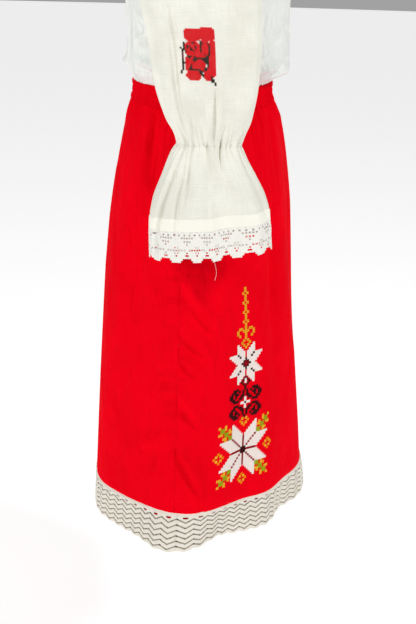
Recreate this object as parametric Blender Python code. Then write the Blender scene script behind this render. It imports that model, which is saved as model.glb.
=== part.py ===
"""A European folk dress, filled out and hollow, as it hangs on a wearer who isn't there.

A white cotton blouse bodice, with long sleeves that an elastic gathers above a flounce, is sewn to
a straight red skirt. The skirt has a shirred elastic band at the waist and a crocheted lace hem,
and each sleeve ends in a cotton lace.

Metres, +Z up. The front faces -Y and the wearer's right side is at -X. The origin lies midway
between the two neck ends of the shoulder seams, where the wearer holds the dress up.
"""

import math

import bmesh
import bpy
from mathutils import Vector

# Driving sizes, in metres. Heights run down from the neck ends of the shoulder seams.
SEAM_GAP = 0.0003
BLOUSE_WALL = 0.0012
SKIRT_WALL = 0.0014
BAND_WALL = 0.0018
LACE_WALL = 0.0016

NECK_HALF_WIDTH = 0.078
NECK_DROP_FRONT = 0.085
NECK_DROP_BACK = 0.022
SHOULDER_HALF_WIDTH = 0.183
SHOULDER_DROP = 0.043
SHOULDER_ROUND = 0.095
UNDERARM_DROP = 0.212
ARMHOLE_SCOOP = 0.016
WAIST_DROP = 0.400
BAND_HEIGHT = 0.028
SKIRT_DROP = 0.985
SKIRT_LACE_HEIGHT = 0.054

SLEEVE_CAP_DROP = 0.250
SLEEVE_HEM_DROP = 0.5615
SLEEVE_LACE_HEIGHT = 0.039

# How many of each repeat go round the dress, or round one sleeve.
WAIST_GATHERS = 48
SLEEVE_GATHERS = 20
RIPPLES = 58
SLEEVE_TABS = 14

SQUARENESS = 2.2

# How much closer together the sleeve's columns lie on its flat sides than on its edges.
SLEEVE_EVENNESS = 0.35

BLOUSE_GATHER_RISE = 0.0012

# Sections of bodice and skirt: drop, half width, half depth at the front, half depth at the back.
BODY_SECTIONS = (
    (0.000, 0.190, 0.080, 0.092),
    (0.100, 0.190, 0.106, 0.108),
    (0.212, 0.178, 0.124, 0.112),
    (0.300, 0.166, 0.122, 0.106),
    (0.360, 0.156, 0.124, 0.104),
    (0.384, 0.152, 0.124, 0.103),
    (0.400, 0.136, 0.099, 0.096),
    (0.414, 0.137, 0.099, 0.096),
    (0.428, 0.141, 0.103, 0.099),
    (0.452, 0.152, 0.115, 0.108),
    (0.520, 0.171, 0.129, 0.123),
    (0.600, 0.184, 0.139, 0.134),
    (0.780, 0.203, 0.151, 0.146),
    (0.985, 0.220, 0.170, 0.156),
    (1.045, 0.224, 0.174, 0.159),
)

# Sections of a hanging sleeve: drop, how far out and how far forward its middle lies, half
# thickness across the arm, half width along it, how high its gathers stand, how far its front edge
# is lifted, as the flounce swings forward, and how far both edges curl up.
SLEEVE_SECTIONS = (
    (0.250, 0.212, 0.010, 0.031, 0.0770, 0.0000, 0.000, 0.0000),
    (0.334, 0.208, 0.022, 0.029, 0.0695, 0.0000, 0.000, 0.0000),
    (0.388, 0.205, 0.025, 0.028, 0.0640, 0.0003, 0.000, 0.0000),
    (0.430, 0.201, 0.028, 0.022, 0.0530, 0.0010, 0.000, 0.0000),
    (0.446, 0.199, 0.029, 0.017, 0.0450, 0.0016, 0.000, 0.0000),
    (0.460, 0.198, 0.029, 0.014, 0.0405, 0.0018, 0.000, 0.0000),
    (0.469, 0.200, 0.028, 0.017, 0.0455, 0.0017, 0.001, 0.0000),
    (0.500, 0.208, 0.0315, 0.022, 0.0605, 0.0009, 0.003, 0.0010),
    (0.527, 0.214, 0.0335, 0.025, 0.0715, 0.0004, 0.006, 0.0025),
    (0.556, 0.217, 0.0355, 0.024, 0.0770, 0.0000, 0.009, 0.0035),
    (0.600, 0.220, 0.0375, 0.024, 0.0790, 0.0000, 0.012, 0.0050),
)

# Soft folds of the skirt: degrees round from the front middle to the wearer's right, drops of its
# two ends, half width in degrees, height (a trough is negative), and degrees it leans on its way down.
SKIRT_FOLDS = (
    (113.0, 0.42, 0.57, 5.5, -0.0065, 2.0),
    (98.0, 0.42, 0.54, 5.0, -0.0040, 0.0),
    (119.0, 0.53, 0.68, 7.0, -0.0075, 5.0),
    (122.0, 0.60, 1.02, 8.0, -0.0035, -44.0),
    (83.0, 0.62, 1.30, 12.0, 0.0100, 0.0),
    (57.0, 0.64, 1.30, 11.0, -0.0100, 0.0),
    (44.0, 0.42, 0.53, 5.0, -0.0045, 2.0),
    (34.0, 0.56, 0.88, 6.5, -0.0055, 1.0),
    (8.0, 0.44, 0.80, 7.0, -0.0050, 3.0),
    (16.0, 0.60, 1.30, 12.0, 0.0080, -4.0),
    (-14.0, 0.58, 1.30, 11.0, -0.0090, 3.0),
    (-30.0, 0.42, 0.62, 6.0, -0.0055, -2.0),
    (-55.0, 0.50, 1.00, 8.0, -0.0055, 12.0),
    (-72.0, 0.62, 1.30, 12.0, 0.0080, 4.0),
    (-100.0, 0.60, 1.30, 12.0, -0.0085, 0.0),
    (-112.0, 0.42, 0.60, 6.0, -0.0060, -3.0),
    (-138.0, 0.46, 0.92, 8.0, -0.0055, 8.0),
    (-150.0, 0.62, 1.30, 12.0, 0.0085, 3.0),
    (166.0, 0.42, 0.66, 7.0, -0.0060, 2.0),
    (176.0, 0.60, 1.30, 12.0, -0.0090, -4.0),
    (140.0, 0.62, 1.30, 12.0, 0.0075, 0.0),
    (95.0, 0.975, 1.13, 11.0, 0.0200, 0.0),
    (71.0, 0.975, 1.13, 10.0, -0.0170, 0.0),
    (29.0, 0.975, 1.13, 9.0, -0.0110, 0.0),
    (2.0, 0.975, 1.13, 10.0, 0.0080, 0.0),
    (-28.0, 0.975, 1.13, 9.0, -0.0090, 0.0),
    (-64.0, 0.975, 1.13, 10.0, -0.0120, 0.0),
    (-92.0, 0.975, 1.13, 10.0, 0.0160, 0.0),
    (-150.0, 0.975, 1.13, 11.0, -0.0100, 0.0),
    (178.0, 0.975, 1.13, 10.0, 0.0110, 0.0),
)

# Places of the rows of points, as shares of the way down each panel.
BODICE_ROWS = (0.0, 0.02, 0.08, 0.18, 0.34, 0.54, 0.74, 0.88, 0.94, 0.975, 1.0)
SKIRT_ROWS = (0.0, 0.05, 0.11, 0.18, 0.28, 0.40, 0.55, 0.70, 0.85, 1.0)
SLEEVE_ROWS = (0.0, 0.08, 0.19, 0.31, 0.49, 0.61, 0.71, 0.75, 0.78, 0.80, 0.875, 0.935, 1.0)

# Share of the sleeve's rows that its rounded cap takes.
CAP_SHARE = 0.3

# Columns of half a bodice panel along the neckline, the shoulder seam and the armhole.
NECK_COLUMNS = 4
SHOULDER_COLUMNS = 3
ARMHOLE_COLUMNS = 10
HALF_COLUMNS = NECK_COLUMNS + SHOULDER_COLUMNS + ARMHOLE_COLUMNS


def smooth(t):
    """Ease from 0 to 1."""
    t = min(max(t, 0.0), 1.0)
    return t * t * (3.0 - 2.0 * t)


def mix(a, b, t):
    """Go from a to b as t goes from 0 to 1."""
    return a + (b - a) * t


def read_sections(table, drop):
    """Read a table of sections at a drop, on a curve that never swings past its rows."""
    drop = min(max(drop, table[0][0]), table[-1][0])
    k = 0
    while k < len(table) - 2 and drop > table[k + 1][0]:
        k += 1
    low, high = table[k], table[k + 1]
    before, after = table[max(k - 1, 0)], table[min(k + 2, len(table) - 1)]
    step = high[0] - low[0]
    t = (drop - low[0]) / step
    values = []
    for c in range(1, len(low)):
        slope = (high[c] - low[c]) / step
        start = level_slope(before, low, slope, c)
        end = level_slope(high, after, slope, c)
        a = 2.0 * t**3 - 3.0 * t**2 + 1.0
        b = t**3 - 2.0 * t**2 + t
        d = t**3 - t**2
        values.append(a * low[c] + b * step * start + (1.0 - a) * high[c] + d * step * end)
    return values


def level_slope(low, high, slope, column):
    """Slope at a row of a table: level at a turning point, else between its neighbours' slopes."""
    if high[0] == low[0]:
        return slope
    other = (high[column] - low[column]) / (high[0] - low[0])
    if other * slope <= 0.0:
        return 0.0
    return 2.0 * other * slope / (other + slope)


def power(value, exponent):
    """Raise a signed number to a power, keeping its sign."""
    return math.copysign(abs(value) ** exponent, value)


def shoulder_height(x):
    """Height of the shoulder seam above a place across the dress."""
    share = (abs(x) - NECK_HALF_WIDTH) / (SHOULDER_HALF_WIDTH - NECK_HALF_WIDTH)
    return -SHOULDER_DROP * min(max(share, 0.0), 1.2)


def upright_point(turn, z, out=0.0):
    """Point of the body before its shoulders are rounded. `turn` runs from the front middle (0) to
    the wearer's right side (90 degrees) and on round the back."""
    half_width, front, back = read_sections(BODY_SECTIONS, -z)
    angle = math.radians(turn)
    across = power(math.sin(angle), 2.0 / SQUARENESS)
    forward = power(math.cos(angle), 2.0 / SQUARENESS)
    depth = front if forward > 0.0 else back
    return Vector((-(half_width + out) * across, -(depth + out) * forward, z))


def shoulder_share(x, z):
    """How far a place lies down the rounding of the shoulders, from 0 at the seam to 1 below it."""
    return min(max((shoulder_height(x) - z) / SHOULDER_ROUND, 0.0), 1.0)


def body_point(turn, z, out=0.0):
    """Point of the bodice or skirt, with the shoulders rounded over to their seams."""
    point = upright_point(turn, z, out)
    point.y *= math.sqrt(1.0 - (1.0 - shoulder_share(point.x, z)) ** 2)
    return point


def body_normal(turn, z):
    """Way out of the plain bodice."""
    along = upright_point(turn + 0.5, z) - upright_point(turn - 0.5, z)
    fall = upright_point(turn, z - 0.001) - upright_point(turn, z)
    upright = along.cross(fall).normalized()
    place = upright_point(turn, z)
    share = shoulder_share(place.x, z)
    slope = SHOULDER_DROP / (SHOULDER_HALF_WIDTH - NECK_HALF_WIDTH)
    above = Vector((math.copysign(slope, place.x), 0.0, 1.0)).normalized()
    return (upright * math.sqrt(1.0 - (1.0 - share) ** 2) + above * (1.0 - share)).normalized()


def turn_at(x, z):
    """Turn at which the body is x out from the middle, on the front."""
    half_width = read_sections(BODY_SECTIONS, -z)[0]
    share = min(abs(x) / half_width, 1.0)
    return math.degrees(math.asin(share ** (SQUARENESS / 2.0)))


def armhole_edge(around):
    """Place of the armhole's edge, across and up, from the shoulder (0) to the underarm (1)."""
    angle = math.pi * around
    underarm = read_sections(BODY_SECTIONS, UNDERARM_DROP)[0]
    x = mix(SHOULDER_HALF_WIDTH, underarm, around) - ARMHOLE_SCOOP * math.sin(angle) ** 2
    middle = -(SHOULDER_DROP + UNDERARM_DROP) / 2.0
    half_height = (UNDERARM_DROP - SHOULDER_DROP) / 2.0
    return x, middle + half_height * math.cos(angle)


def panel_top(share, neck_drop):
    """Top edge of a bodice panel, from its middle (0) along neckline, shoulder and armhole (1)."""
    column = share * HALF_COLUMNS
    if column < NECK_COLUMNS:
        angle = math.pi / 2.0 * column / NECK_COLUMNS
        return NECK_HALF_WIDTH * math.sin(angle), -neck_drop * math.cos(angle)
    column -= NECK_COLUMNS
    if column < SHOULDER_COLUMNS:
        x = mix(NECK_HALF_WIDTH, SHOULDER_HALF_WIDTH, column / SHOULDER_COLUMNS)
        return x, shoulder_height(x)
    return armhole_edge((column - SHOULDER_COLUMNS) / ARMHOLE_COLUMNS)


def bodice_place(back, side, down):
    """Turn and height of a place on a bodice panel, over side (-1 to 1) and way down (0 to 1)."""
    share = min(abs(side), 1.0)
    x, top = panel_top(share, NECK_DROP_BACK if back else NECK_DROP_FRONT)
    turn = mix(turn_at(x, top), 90.0 * share, smooth(min(down * 1.6, 1.0)))
    turn = math.copysign(turn, side)
    return (180.0 - turn if back else turn), mix(top, -WAIST_DROP, down)


def bodice_surface(back):
    """Outer face of the bodice's front or back, half a seam gap short of the other one."""

    def surface(side, down):
        turn, z = bodice_place(back, side, down)
        gathers = math.cos(math.pi * HALF_COLUMNS * side)
        out = BLOUSE_GATHER_RISE * gathers * smooth((down - 0.55) / 0.4)
        point = body_point(turn, z, out)
        point.y += SEAM_GAP / 2.0 * (1.0 if back else -1.0)
        return point

    return surface


def bodice_normal(back):
    """Way out of the bodice's front or back."""
    return lambda side, down: body_normal(*bodice_place(back, side, down))


def skirt_out(turn, drop):
    """How far the skirt's folds stand out of, or sink into, its plain form."""
    fade = 1.0 - smooth((drop - WAIST_DROP - BAND_HEIGHT) / 0.10)
    out = 0.0018 * fade * math.cos(math.radians(WAIST_GATHERS * turn))
    for middle, top, bottom, half, height, lean in SKIRT_FOLDS:
        along = (drop - top) / (bottom - top)
        if 0.0 < along < 1.0:
            off = (turn - middle - lean * along + 180.0) % 360.0 - 180.0
            swell = math.sin(math.pi * along) ** 0.8
            out += height * swell * math.exp(-((off / half) ** 2))
    return out


def skirt_surface(first, last, top, bottom):
    """Outer face of a stretch of the skirt, from turn to turn and from drop to drop."""

    def surface(side, down):
        drop = mix(top, bottom, down)
        turn = mix(first, last, side)
        return body_point(turn, -drop, skirt_out(turn, drop))

    return surface


def band_surface(side, down):
    """Outer face of the shirred band at the waist."""
    turn = 360.0 * side
    drop = mix(WAIST_DROP + SEAM_GAP, WAIST_DROP + BAND_HEIGHT, down)
    out = 0.0012 + 0.0012 * math.cos(math.radians(WAIST_GATHERS * turn))
    return body_point(turn, -drop, out)


def skirt_lace_surface(first, last, periods):
    """Outer face of the crocheted lace, whose rows rise and fall in ripples."""
    heights = (0.0, 0.005, 0.008, SKIRT_LACE_HEIGHT)
    ripple = (0.0, 0.0, 0.005, 0.002)

    def surface(side, down):
        column = side * periods * 3.0
        low = 1.0 if round(column) % 3 == 2 else 0.0
        row = down * (len(heights) - 1)
        k = min(int(row), len(heights) - 2)
        t = row - k
        drop = mix(heights[k], heights[k + 1], t) + low * mix(ripple[k], ripple[k + 1], t)
        drop = min(drop, SKIRT_LACE_HEIGHT + ripple[-1]) + SKIRT_DROP + SEAM_GAP
        turn = mix(first, last, side)
        return body_point(turn, -drop, skirt_out(turn, drop))

    return surface


def hanging_ring(side, around, drop, out=0.0):
    """Point of a hanging sleeve: `around` runs from its outer side (0) over its front."""
    far, forward, thick, wide, rise, lift, curl = read_sections(SLEEVE_SECTIONS, drop)
    even = 2.0 * math.pi * around
    angle = even - SLEEVE_EVENNESS / 2.0 * math.sin(2.0 * even)
    out += rise * math.cos(SLEEVE_GATHERS * even)
    x = side * (far + (thick + out) * power(math.cos(angle), 0.85))
    ahead = power(math.sin(angle), 0.95)
    return Vector((x, -forward - (wide + out) * ahead, lift * ahead + curl * ahead**2 - drop))


def sleeve_surface(side):
    """Outer face of a sleeve, from the armhole to its hem. `side` is -1 on the wearer's right."""

    def surface(around, down):
        if down >= CAP_SHARE:
            t = (down - CAP_SHARE) / (1.0 - CAP_SHARE)
            return hanging_ring(side, around, mix(SLEEVE_CAP_DROP, SLEEVE_HEM_DROP, t))
        start = armhole_point(side, around)
        end = hanging_ring(side, around, SLEEVE_CAP_DROP)
        t = down / CAP_SHARE
        bend = Vector((end.x, mix(start.y, end.y, 0.4), mix(start.z, end.z, 0.22)))
        point = start * (1.0 - t) ** 2 + bend * 2.0 * t * (1.0 - t) + end * t**2
        return point

    return surface


def armhole_turn(side, share, front):
    """Turn and height of a place on the bodice's armhole edge, from shoulder (0) to underarm (1)."""
    x, z = armhole_edge(share)
    turn = turn_at(x, z)
    if not front:
        turn = 180.0 - turn
    return -side * turn, z


def armhole_corner(side, share, front):
    """Point, way out of the cloth and way off its edge at one of the bodice's armhole points."""
    turn, z = armhole_turn(side, share, front)
    out = body_normal(turn, z)
    before = body_point(*armhole_turn(side, max(share - 0.02, 0.0), front))
    after = body_point(*armhole_turn(side, min(share + 0.02, 1.0), front))
    off = (after - before).cross(out).normalized()
    if off.x * side + off.z * 0.5 < 0.0:
        off.negate()
    return body_point(turn, z), out, off


def armhole_frame(side, around):
    """The same at any place round the armhole: between two of the bodice's points it is straight."""
    front = around <= 0.5
    share = min(max(around * 2.0 if front else 2.0 - around * 2.0, 0.0), 1.0)
    corner = min(int(share * ARMHOLE_COLUMNS), ARMHOLE_COLUMNS - 1)
    low = armhole_corner(side, corner / ARMHOLE_COLUMNS, front)
    high = armhole_corner(side, (corner + 1) / ARMHOLE_COLUMNS, front)
    t = share * ARMHOLE_COLUMNS - corner
    return [a * (1.0 - t) + b * t for a, b in zip(low, high)]


def armhole_point(side, around):
    """Point of the sleeve's top edge, one seam gap off the bodice."""
    point, out, off = armhole_frame(side, around)
    return point + off * SEAM_GAP


def sleeve_normal(side, surface):
    """Way out of a sleeve. At its top edge it is the bodice's at the shoulder, and down at the underarm."""

    def normal(around, down):
        if down >= 1.0:
            return level_normal(surface, side)(around, down)
        if down > 0.0:
            return normal_at(surface, around, down) * side
        point, out, off = armhole_frame(side, around)
        share = around * 2.0 if around <= 0.5 else 2.0 - around * 2.0
        under = smooth((share - 0.45) / 0.5)
        return (out * (1.0 - under) - off * under).normalized()

    return normal


def sleeve_lace_surface(side):
    """Outer face of a sleeve's lace, whose lower edge is cut in square tabs."""

    def surface(around, down):
        column = round(around * SLEEVE_TABS * 4)
        deep = SLEEVE_LACE_HEIGHT - (0.007 if column % 4 in (0, 3) else 0.0)
        drop = SLEEVE_HEM_DROP + SEAM_GAP + deep * down
        return hanging_ring(side, around, drop, 0.0)

    return surface


def steps(count, first=0.0, last=1.0):
    """Even steps from first to last."""
    return [mix(first, last, k / count) for k in range(count + 1)]


def normal_at(surface, u, v):
    """Direction out of a surface, from how it changes round a point."""
    reach = 0.0005
    low_v, high_v = max(v - reach, 0.0), min(v + reach, 1.0)
    along = surface(u + reach, v) - surface(u - reach, v)
    down = surface(u, high_v) - surface(u, low_v)
    return along.cross(down).normalized()


def level_normal(surface, side=1.0):
    """Level direction out of a surface, so that walls meet face to face at a level seam."""

    def normal(u, v):
        out = normal_at(surface, u, v) * side
        out.z = 0.0
        return out.normalized()

    return normal


def cloth(name, surface, across, down, thickness, material, normal, closed=False, hole=None):
    """Build one wall of cloth: a grid laid on a surface, extruded inwards by its thickness."""
    bm = bmesh.new()
    bmesh.ops.create_grid(bm, x_segments=len(across) - 1, y_segments=len(down) - 1, size=1.0)
    places = {}
    for vert in bm.verts:
        i = round((vert.co.x + 1.0) / 2.0 * (len(across) - 1))
        j = round((1.0 - vert.co.y) / 2.0 * (len(down) - 1))
        places[vert] = (i, j)
    if hole:
        gone = [face for face in bm.faces if hole(*lowest_place(face, places))]
        bmesh.ops.delete(bm, geom=gone, context="FACES")
    inward = {}
    for vert in bm.verts:
        i, j = places[vert]
        u, v = across[i], down[j]
        vert.co = surface(u, v)
        inward[tuple(vert.co)] = vert.co - normal(u, v) * thickness
    if closed:
        bmesh.ops.remove_doubles(bm, verts=bm.verts, dist=1e-6)
    made = bmesh.ops.extrude_face_region(bm, geom=bm.faces[:])
    for vert in made["geom"]:
        if isinstance(vert, bmesh.types.BMVert):
            vert.co = inward[tuple(vert.co)]
    bmesh.ops.recalc_face_normals(bm, faces=bm.faces)
    mesh = bpy.data.meshes.new(name)
    bm.to_mesh(mesh)
    bm.free()
    mesh.materials.append(material)
    mesh.shade_smooth()
    mesh.set_sharp_from_angle(angle=math.radians(50.0))
    piece = bpy.data.objects.new(name, mesh)
    bpy.context.scene.collection.objects.link(piece)
    return piece


def lowest_place(face, places):
    """Column and row of the grid cell that a face fills."""
    cells = [places[vert] for vert in face.verts]
    return min(i for i, j in cells), min(j for i, j in cells)


def finish(name, colour, roughness):
    """Make one plain material."""
    material = bpy.data.materials.new(name)
    material.use_nodes = True
    shader = material.node_tree.nodes["Principled BSDF"]
    shader.inputs["Base Color"].default_value = (*colour, 1.0)
    shader.inputs["Roughness"].default_value = roughness
    shader.inputs["Metallic"].default_value = 0.0
    return material


def clear_scene():
    """Remove every object that the file starts with."""
    for piece in list(bpy.data.objects):
        bpy.data.objects.remove(piece, do_unlink=True)


def build_bodice():
    """Front and back of the blouse, joined at the shoulders and sides."""
    for name, back in (("bodice_front", False), ("bodice_back", True)):
        white = finish("blouse_cotton_" + name, (0.88, 0.89, 0.89), 0.85)
        columns = steps(HALF_COLUMNS * 2, -1.0, 1.0)
        surface, normal = bodice_surface(back), bodice_normal(back)
        cloth(name, surface, columns, BODICE_ROWS, BLOUSE_WALL, white, normal)


def build_skirt():
    """Shirred band, front and back of the skirt, and its lace in two lengths."""
    red = finish("shirred_red_cotton", (0.80, 0.002, 0.010), 0.8)
    columns = steps(WAIST_GATHERS * 2)
    cloth("waistband", band_surface, columns, steps(2), BAND_WALL, red, level_normal(band_surface), closed=True)
    top = WAIST_DROP + BAND_HEIGHT + SEAM_GAP
    half_gap = 0.06
    for name, first in (("front", -90.0), ("back", 90.0)):
        red = finish("red_cotton_" + name, (0.80, 0.002, 0.010), 0.8)
        start, end = first + half_gap, first + 180.0 - half_gap
        columns = steps(WAIST_GATHERS)
        panel = skirt_surface(start, end, top, SKIRT_DROP)
        cloth("skirt_" + name, panel, columns, SKIRT_ROWS, SKIRT_WALL, red, level_normal(panel))
        cream = finish("crochet_cotton_" + name, (0.86, 0.83, 0.78), 0.9)
        periods = RIPPLES // 2
        lace = skirt_lace_surface(start, end, periods)
        slots = lambda i, j: j == 1 and i % 3 != 0
        columns = steps(periods * 3)
        cloth("skirt_lace_" + name, lace, columns, steps(3), LACE_WALL, cream, level_normal(lace), hole=slots)


def build_sleeves():
    """Each sleeve, and the lace at its hem."""
    for name, side in (("right", -1.0), ("left", 1.0)):
        white = finish("sleeve_cotton_" + name, (0.90, 0.90, 0.87), 0.85)
        columns = steps(SLEEVE_GATHERS * 2)
        surface = sleeve_surface(side)
        normal = sleeve_normal(side, surface)
        cloth("sleeve_" + name, surface, columns, SLEEVE_ROWS, BLOUSE_WALL, white, normal, closed=True)
        cream = finish("sleeve_lace_cotton_" + name, (0.88, 0.87, 0.83), 0.9)
        columns = steps(SLEEVE_TABS * 4)
        surface = sleeve_lace_surface(side)
        normal = level_normal(surface, side)
        cloth("sleeve_lace_" + name, surface, columns, steps(2), LACE_WALL, cream, normal, closed=True)


clear_scene()
build_bodice()
build_skirt()
build_sleeves()
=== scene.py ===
"""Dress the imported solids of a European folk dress: blouse bodice, gathered sleeves, red skirt, lace.

Every cloth piece is a thin shell laid on the same form as its solid, with finer folds, gathers and
creases. The laces are cut and raised, and the cross-stitch is made of crossed threads. Metres, +Z up:
the front faces -Y and the wearer's right side is at -X. A drop is a height below the neck ends of the
shoulder seams, and a turn runs in degrees from the front middle over the wearer's right side.
"""

import logging
import math
from collections.abc import Callable, Iterable
from dataclasses import dataclass, field
from enum import Enum

import bmesh
import bpy
import numpy as np
from mathutils import Matrix, Vector


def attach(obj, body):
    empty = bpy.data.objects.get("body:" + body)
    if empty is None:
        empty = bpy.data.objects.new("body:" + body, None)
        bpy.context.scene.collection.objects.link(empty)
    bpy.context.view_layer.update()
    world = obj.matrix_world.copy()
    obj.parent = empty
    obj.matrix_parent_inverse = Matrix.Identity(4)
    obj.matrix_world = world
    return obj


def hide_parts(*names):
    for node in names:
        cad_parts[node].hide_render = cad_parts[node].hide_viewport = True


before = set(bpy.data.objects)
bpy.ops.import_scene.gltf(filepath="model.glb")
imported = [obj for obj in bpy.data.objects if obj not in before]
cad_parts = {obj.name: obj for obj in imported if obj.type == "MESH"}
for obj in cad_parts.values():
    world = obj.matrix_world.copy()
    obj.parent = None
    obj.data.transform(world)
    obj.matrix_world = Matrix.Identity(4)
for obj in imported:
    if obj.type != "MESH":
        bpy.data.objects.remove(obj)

LOG = logging.getLogger("folk_dress")
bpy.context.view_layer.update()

Array = np.ndarray
Surface = Callable[[Array, Array], Array]
CellTest = Callable[[Array, Array], Array]
Tree = bpy.types.NodeTree
Socket = bpy.types.NodeSocket


class Side(Enum):
    """A side of the wearer; its value is the sign of X there."""

    RIGHT = -1.0
    LEFT = 1.0


class Level(Enum):
    """Which panel of a pair a piece is."""

    FRONT = "front"
    BACK = "back"


def smooth(t: Array) -> Array:
    """Ease from 0 to 1."""
    t = np.clip(t, 0.0, 1.0)
    return t * t * (3.0 - 2.0 * t)


def mix(a: Array, b: Array, t: Array) -> Array:
    """Go from a to b as t goes from 0 to 1."""
    return a + (b - a) * t


def power(value: Array, exponent: float) -> Array:
    """Raise signed numbers to a power, keeping their signs."""
    return np.sign(value) * np.abs(value) ** exponent


def unit(vectors: Array) -> Array:
    """Scale each row to length 1."""
    return vectors / np.maximum(np.linalg.norm(vectors, axis=1, keepdims=True), 1e-12)


def points_of(x: Array, y: Array, z: Array) -> Array:
    """Put three coordinates together as rows of points."""
    x, y, z = np.broadcast_arrays(x, y, z)
    return np.column_stack((x, y, z))


def wander(turn: Array, seed: int, waves: tuple[int, ...]) -> Array:
    """Smooth uneven values of about -1 to 1 that join up after 360 degrees.

    Args:
        turn: Places in degrees.
        seed: Which uneven line it is.
        waves: How many waves go round, for each of the sines it adds.

    Returns:
        One value for each place.
    """
    draw = np.random.default_rng(seed)
    total = np.zeros_like(np.asarray(turn, dtype=float))
    for count in waves:
        height = draw.uniform(0.5, 1.0)
        start = draw.uniform(0.0, math.tau)
        total = total + height * np.sin(np.radians(count * turn) + start)
    return total / math.sqrt(len(waves))


def run_along(line: Array) -> Array:
    """Measure how far along a line of points each point is."""
    return np.concatenate(([0.0], np.cumsum(np.linalg.norm(np.diff(line, axis=0), axis=1))))


class Sections:
    """A table of sections, read on a curve that never swings past its rows."""

    def __init__(self, *rows: tuple[float, ...]) -> None:
        """Keep the rows and work out the slopes between them.

        Args:
            rows: The drop, which rises from row to row, and then the values there.
        """
        table = np.array(rows)
        self.drops = table[:, 0]
        self.values = table[:, 1:]
        rise = np.diff(self.values, axis=0) / np.diff(self.drops)[:, None]
        before, after = rise[:-1], rise[1:]
        same_way = before * after > 0.0
        total = np.where(same_way, before + after, 1.0)
        inner = np.where(same_way, 2.0 * before * after / total, 0.0)
        self.slopes = np.vstack((rise[:1], inner, rise[-1:]))

    def read(self, drop: Array) -> Array:
        """Read every column at each drop.

        Args:
            drop: Places down the table.

        Returns:
            One row for each column of the table.
        """
        drop = np.clip(drop, self.drops[0], self.drops[-1])
        k = np.clip(np.searchsorted(self.drops, drop, side="right") - 1, 0, len(self.drops) - 2)
        step = (self.drops[k + 1] - self.drops[k])[..., None]
        t = (drop[..., None] - self.drops[k][..., None]) / step
        a = 2.0 * t**3 - 3.0 * t**2 + 1.0
        b = (t**3 - 2.0 * t**2 + t) * step
        d = (t**3 - t**2) * step
        above = a * self.values[k] + b * self.slopes[k]
        found = above + (1.0 - a) * self.values[k + 1] + d * self.slopes[k + 1]
        return np.moveaxis(found, -1, 0)


@dataclass(frozen=True)
class Fold:
    """A soft fold of hanging cloth, whose height is negative where it sinks in."""

    turn: float
    top: float
    bottom: float
    half: float
    height: float
    lean: float = 0.0

    def rise(self, turn: Array, drop: Array) -> Array:
        """Say how far the fold stands out.

        Args:
            turn: Places round the cloth.
            drop: Places down it.

        Returns:
            The rise at each place.
        """
        along = (drop - self.top) / (self.bottom - self.top)
        inside = (along > 0.0) & (along < 1.0)
        fullness = 0.8
        swell = np.sin(math.pi * np.clip(along, 0.0, 1.0)) ** fullness
        off = (turn - self.turn - self.lean * along + 180.0) % 360.0 - 180.0
        return np.where(inside, self.height * swell * np.exp(-((off / self.half) ** 2)), 0.0)


@dataclass(frozen=True)
class Crease:
    """A slanting crease: cloth bulges just above its line and is pinched in just below it."""

    start: tuple[float, float]
    end: tuple[float, float]
    half: float
    height: float

    def rise(self, turn: Array, drop: Array) -> Array:
        """Say how far the crease stands out.

        Args:
            turn: Places round the cloth.
            drop: Places down it.

        Returns:
            The rise at each place.
        """
        middle = (self.start[0] + self.end[0]) / 2.0
        near = (turn - middle + 180.0) % 360.0 - 180.0 + middle
        t = (near - self.start[0]) / (self.end[0] - self.start[0])
        off = (drop - mix(self.start[1], self.end[1], t)) / self.half
        fullness = 0.7
        swell = np.sin(math.pi * np.clip(t, 0.0, 1.0)) ** fullness
        return -self.height * swell * off * np.exp(0.5 - 0.5 * off * off)


def rise_of(folds: Iterable[Fold | Crease], turn: Array, drop: Array) -> Array:
    """Add up how far several folds and creases stand out.

    Args:
        folds: The folds and creases.
        turn: Places round the cloth.
        drop: Places down it.

    Returns:
        The whole rise at each place.
    """
    total = np.zeros_like(np.asarray(turn * drop, dtype=float))
    for fold in folds:
        total = total + fold.rise(turn, drop)
    return total


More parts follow.
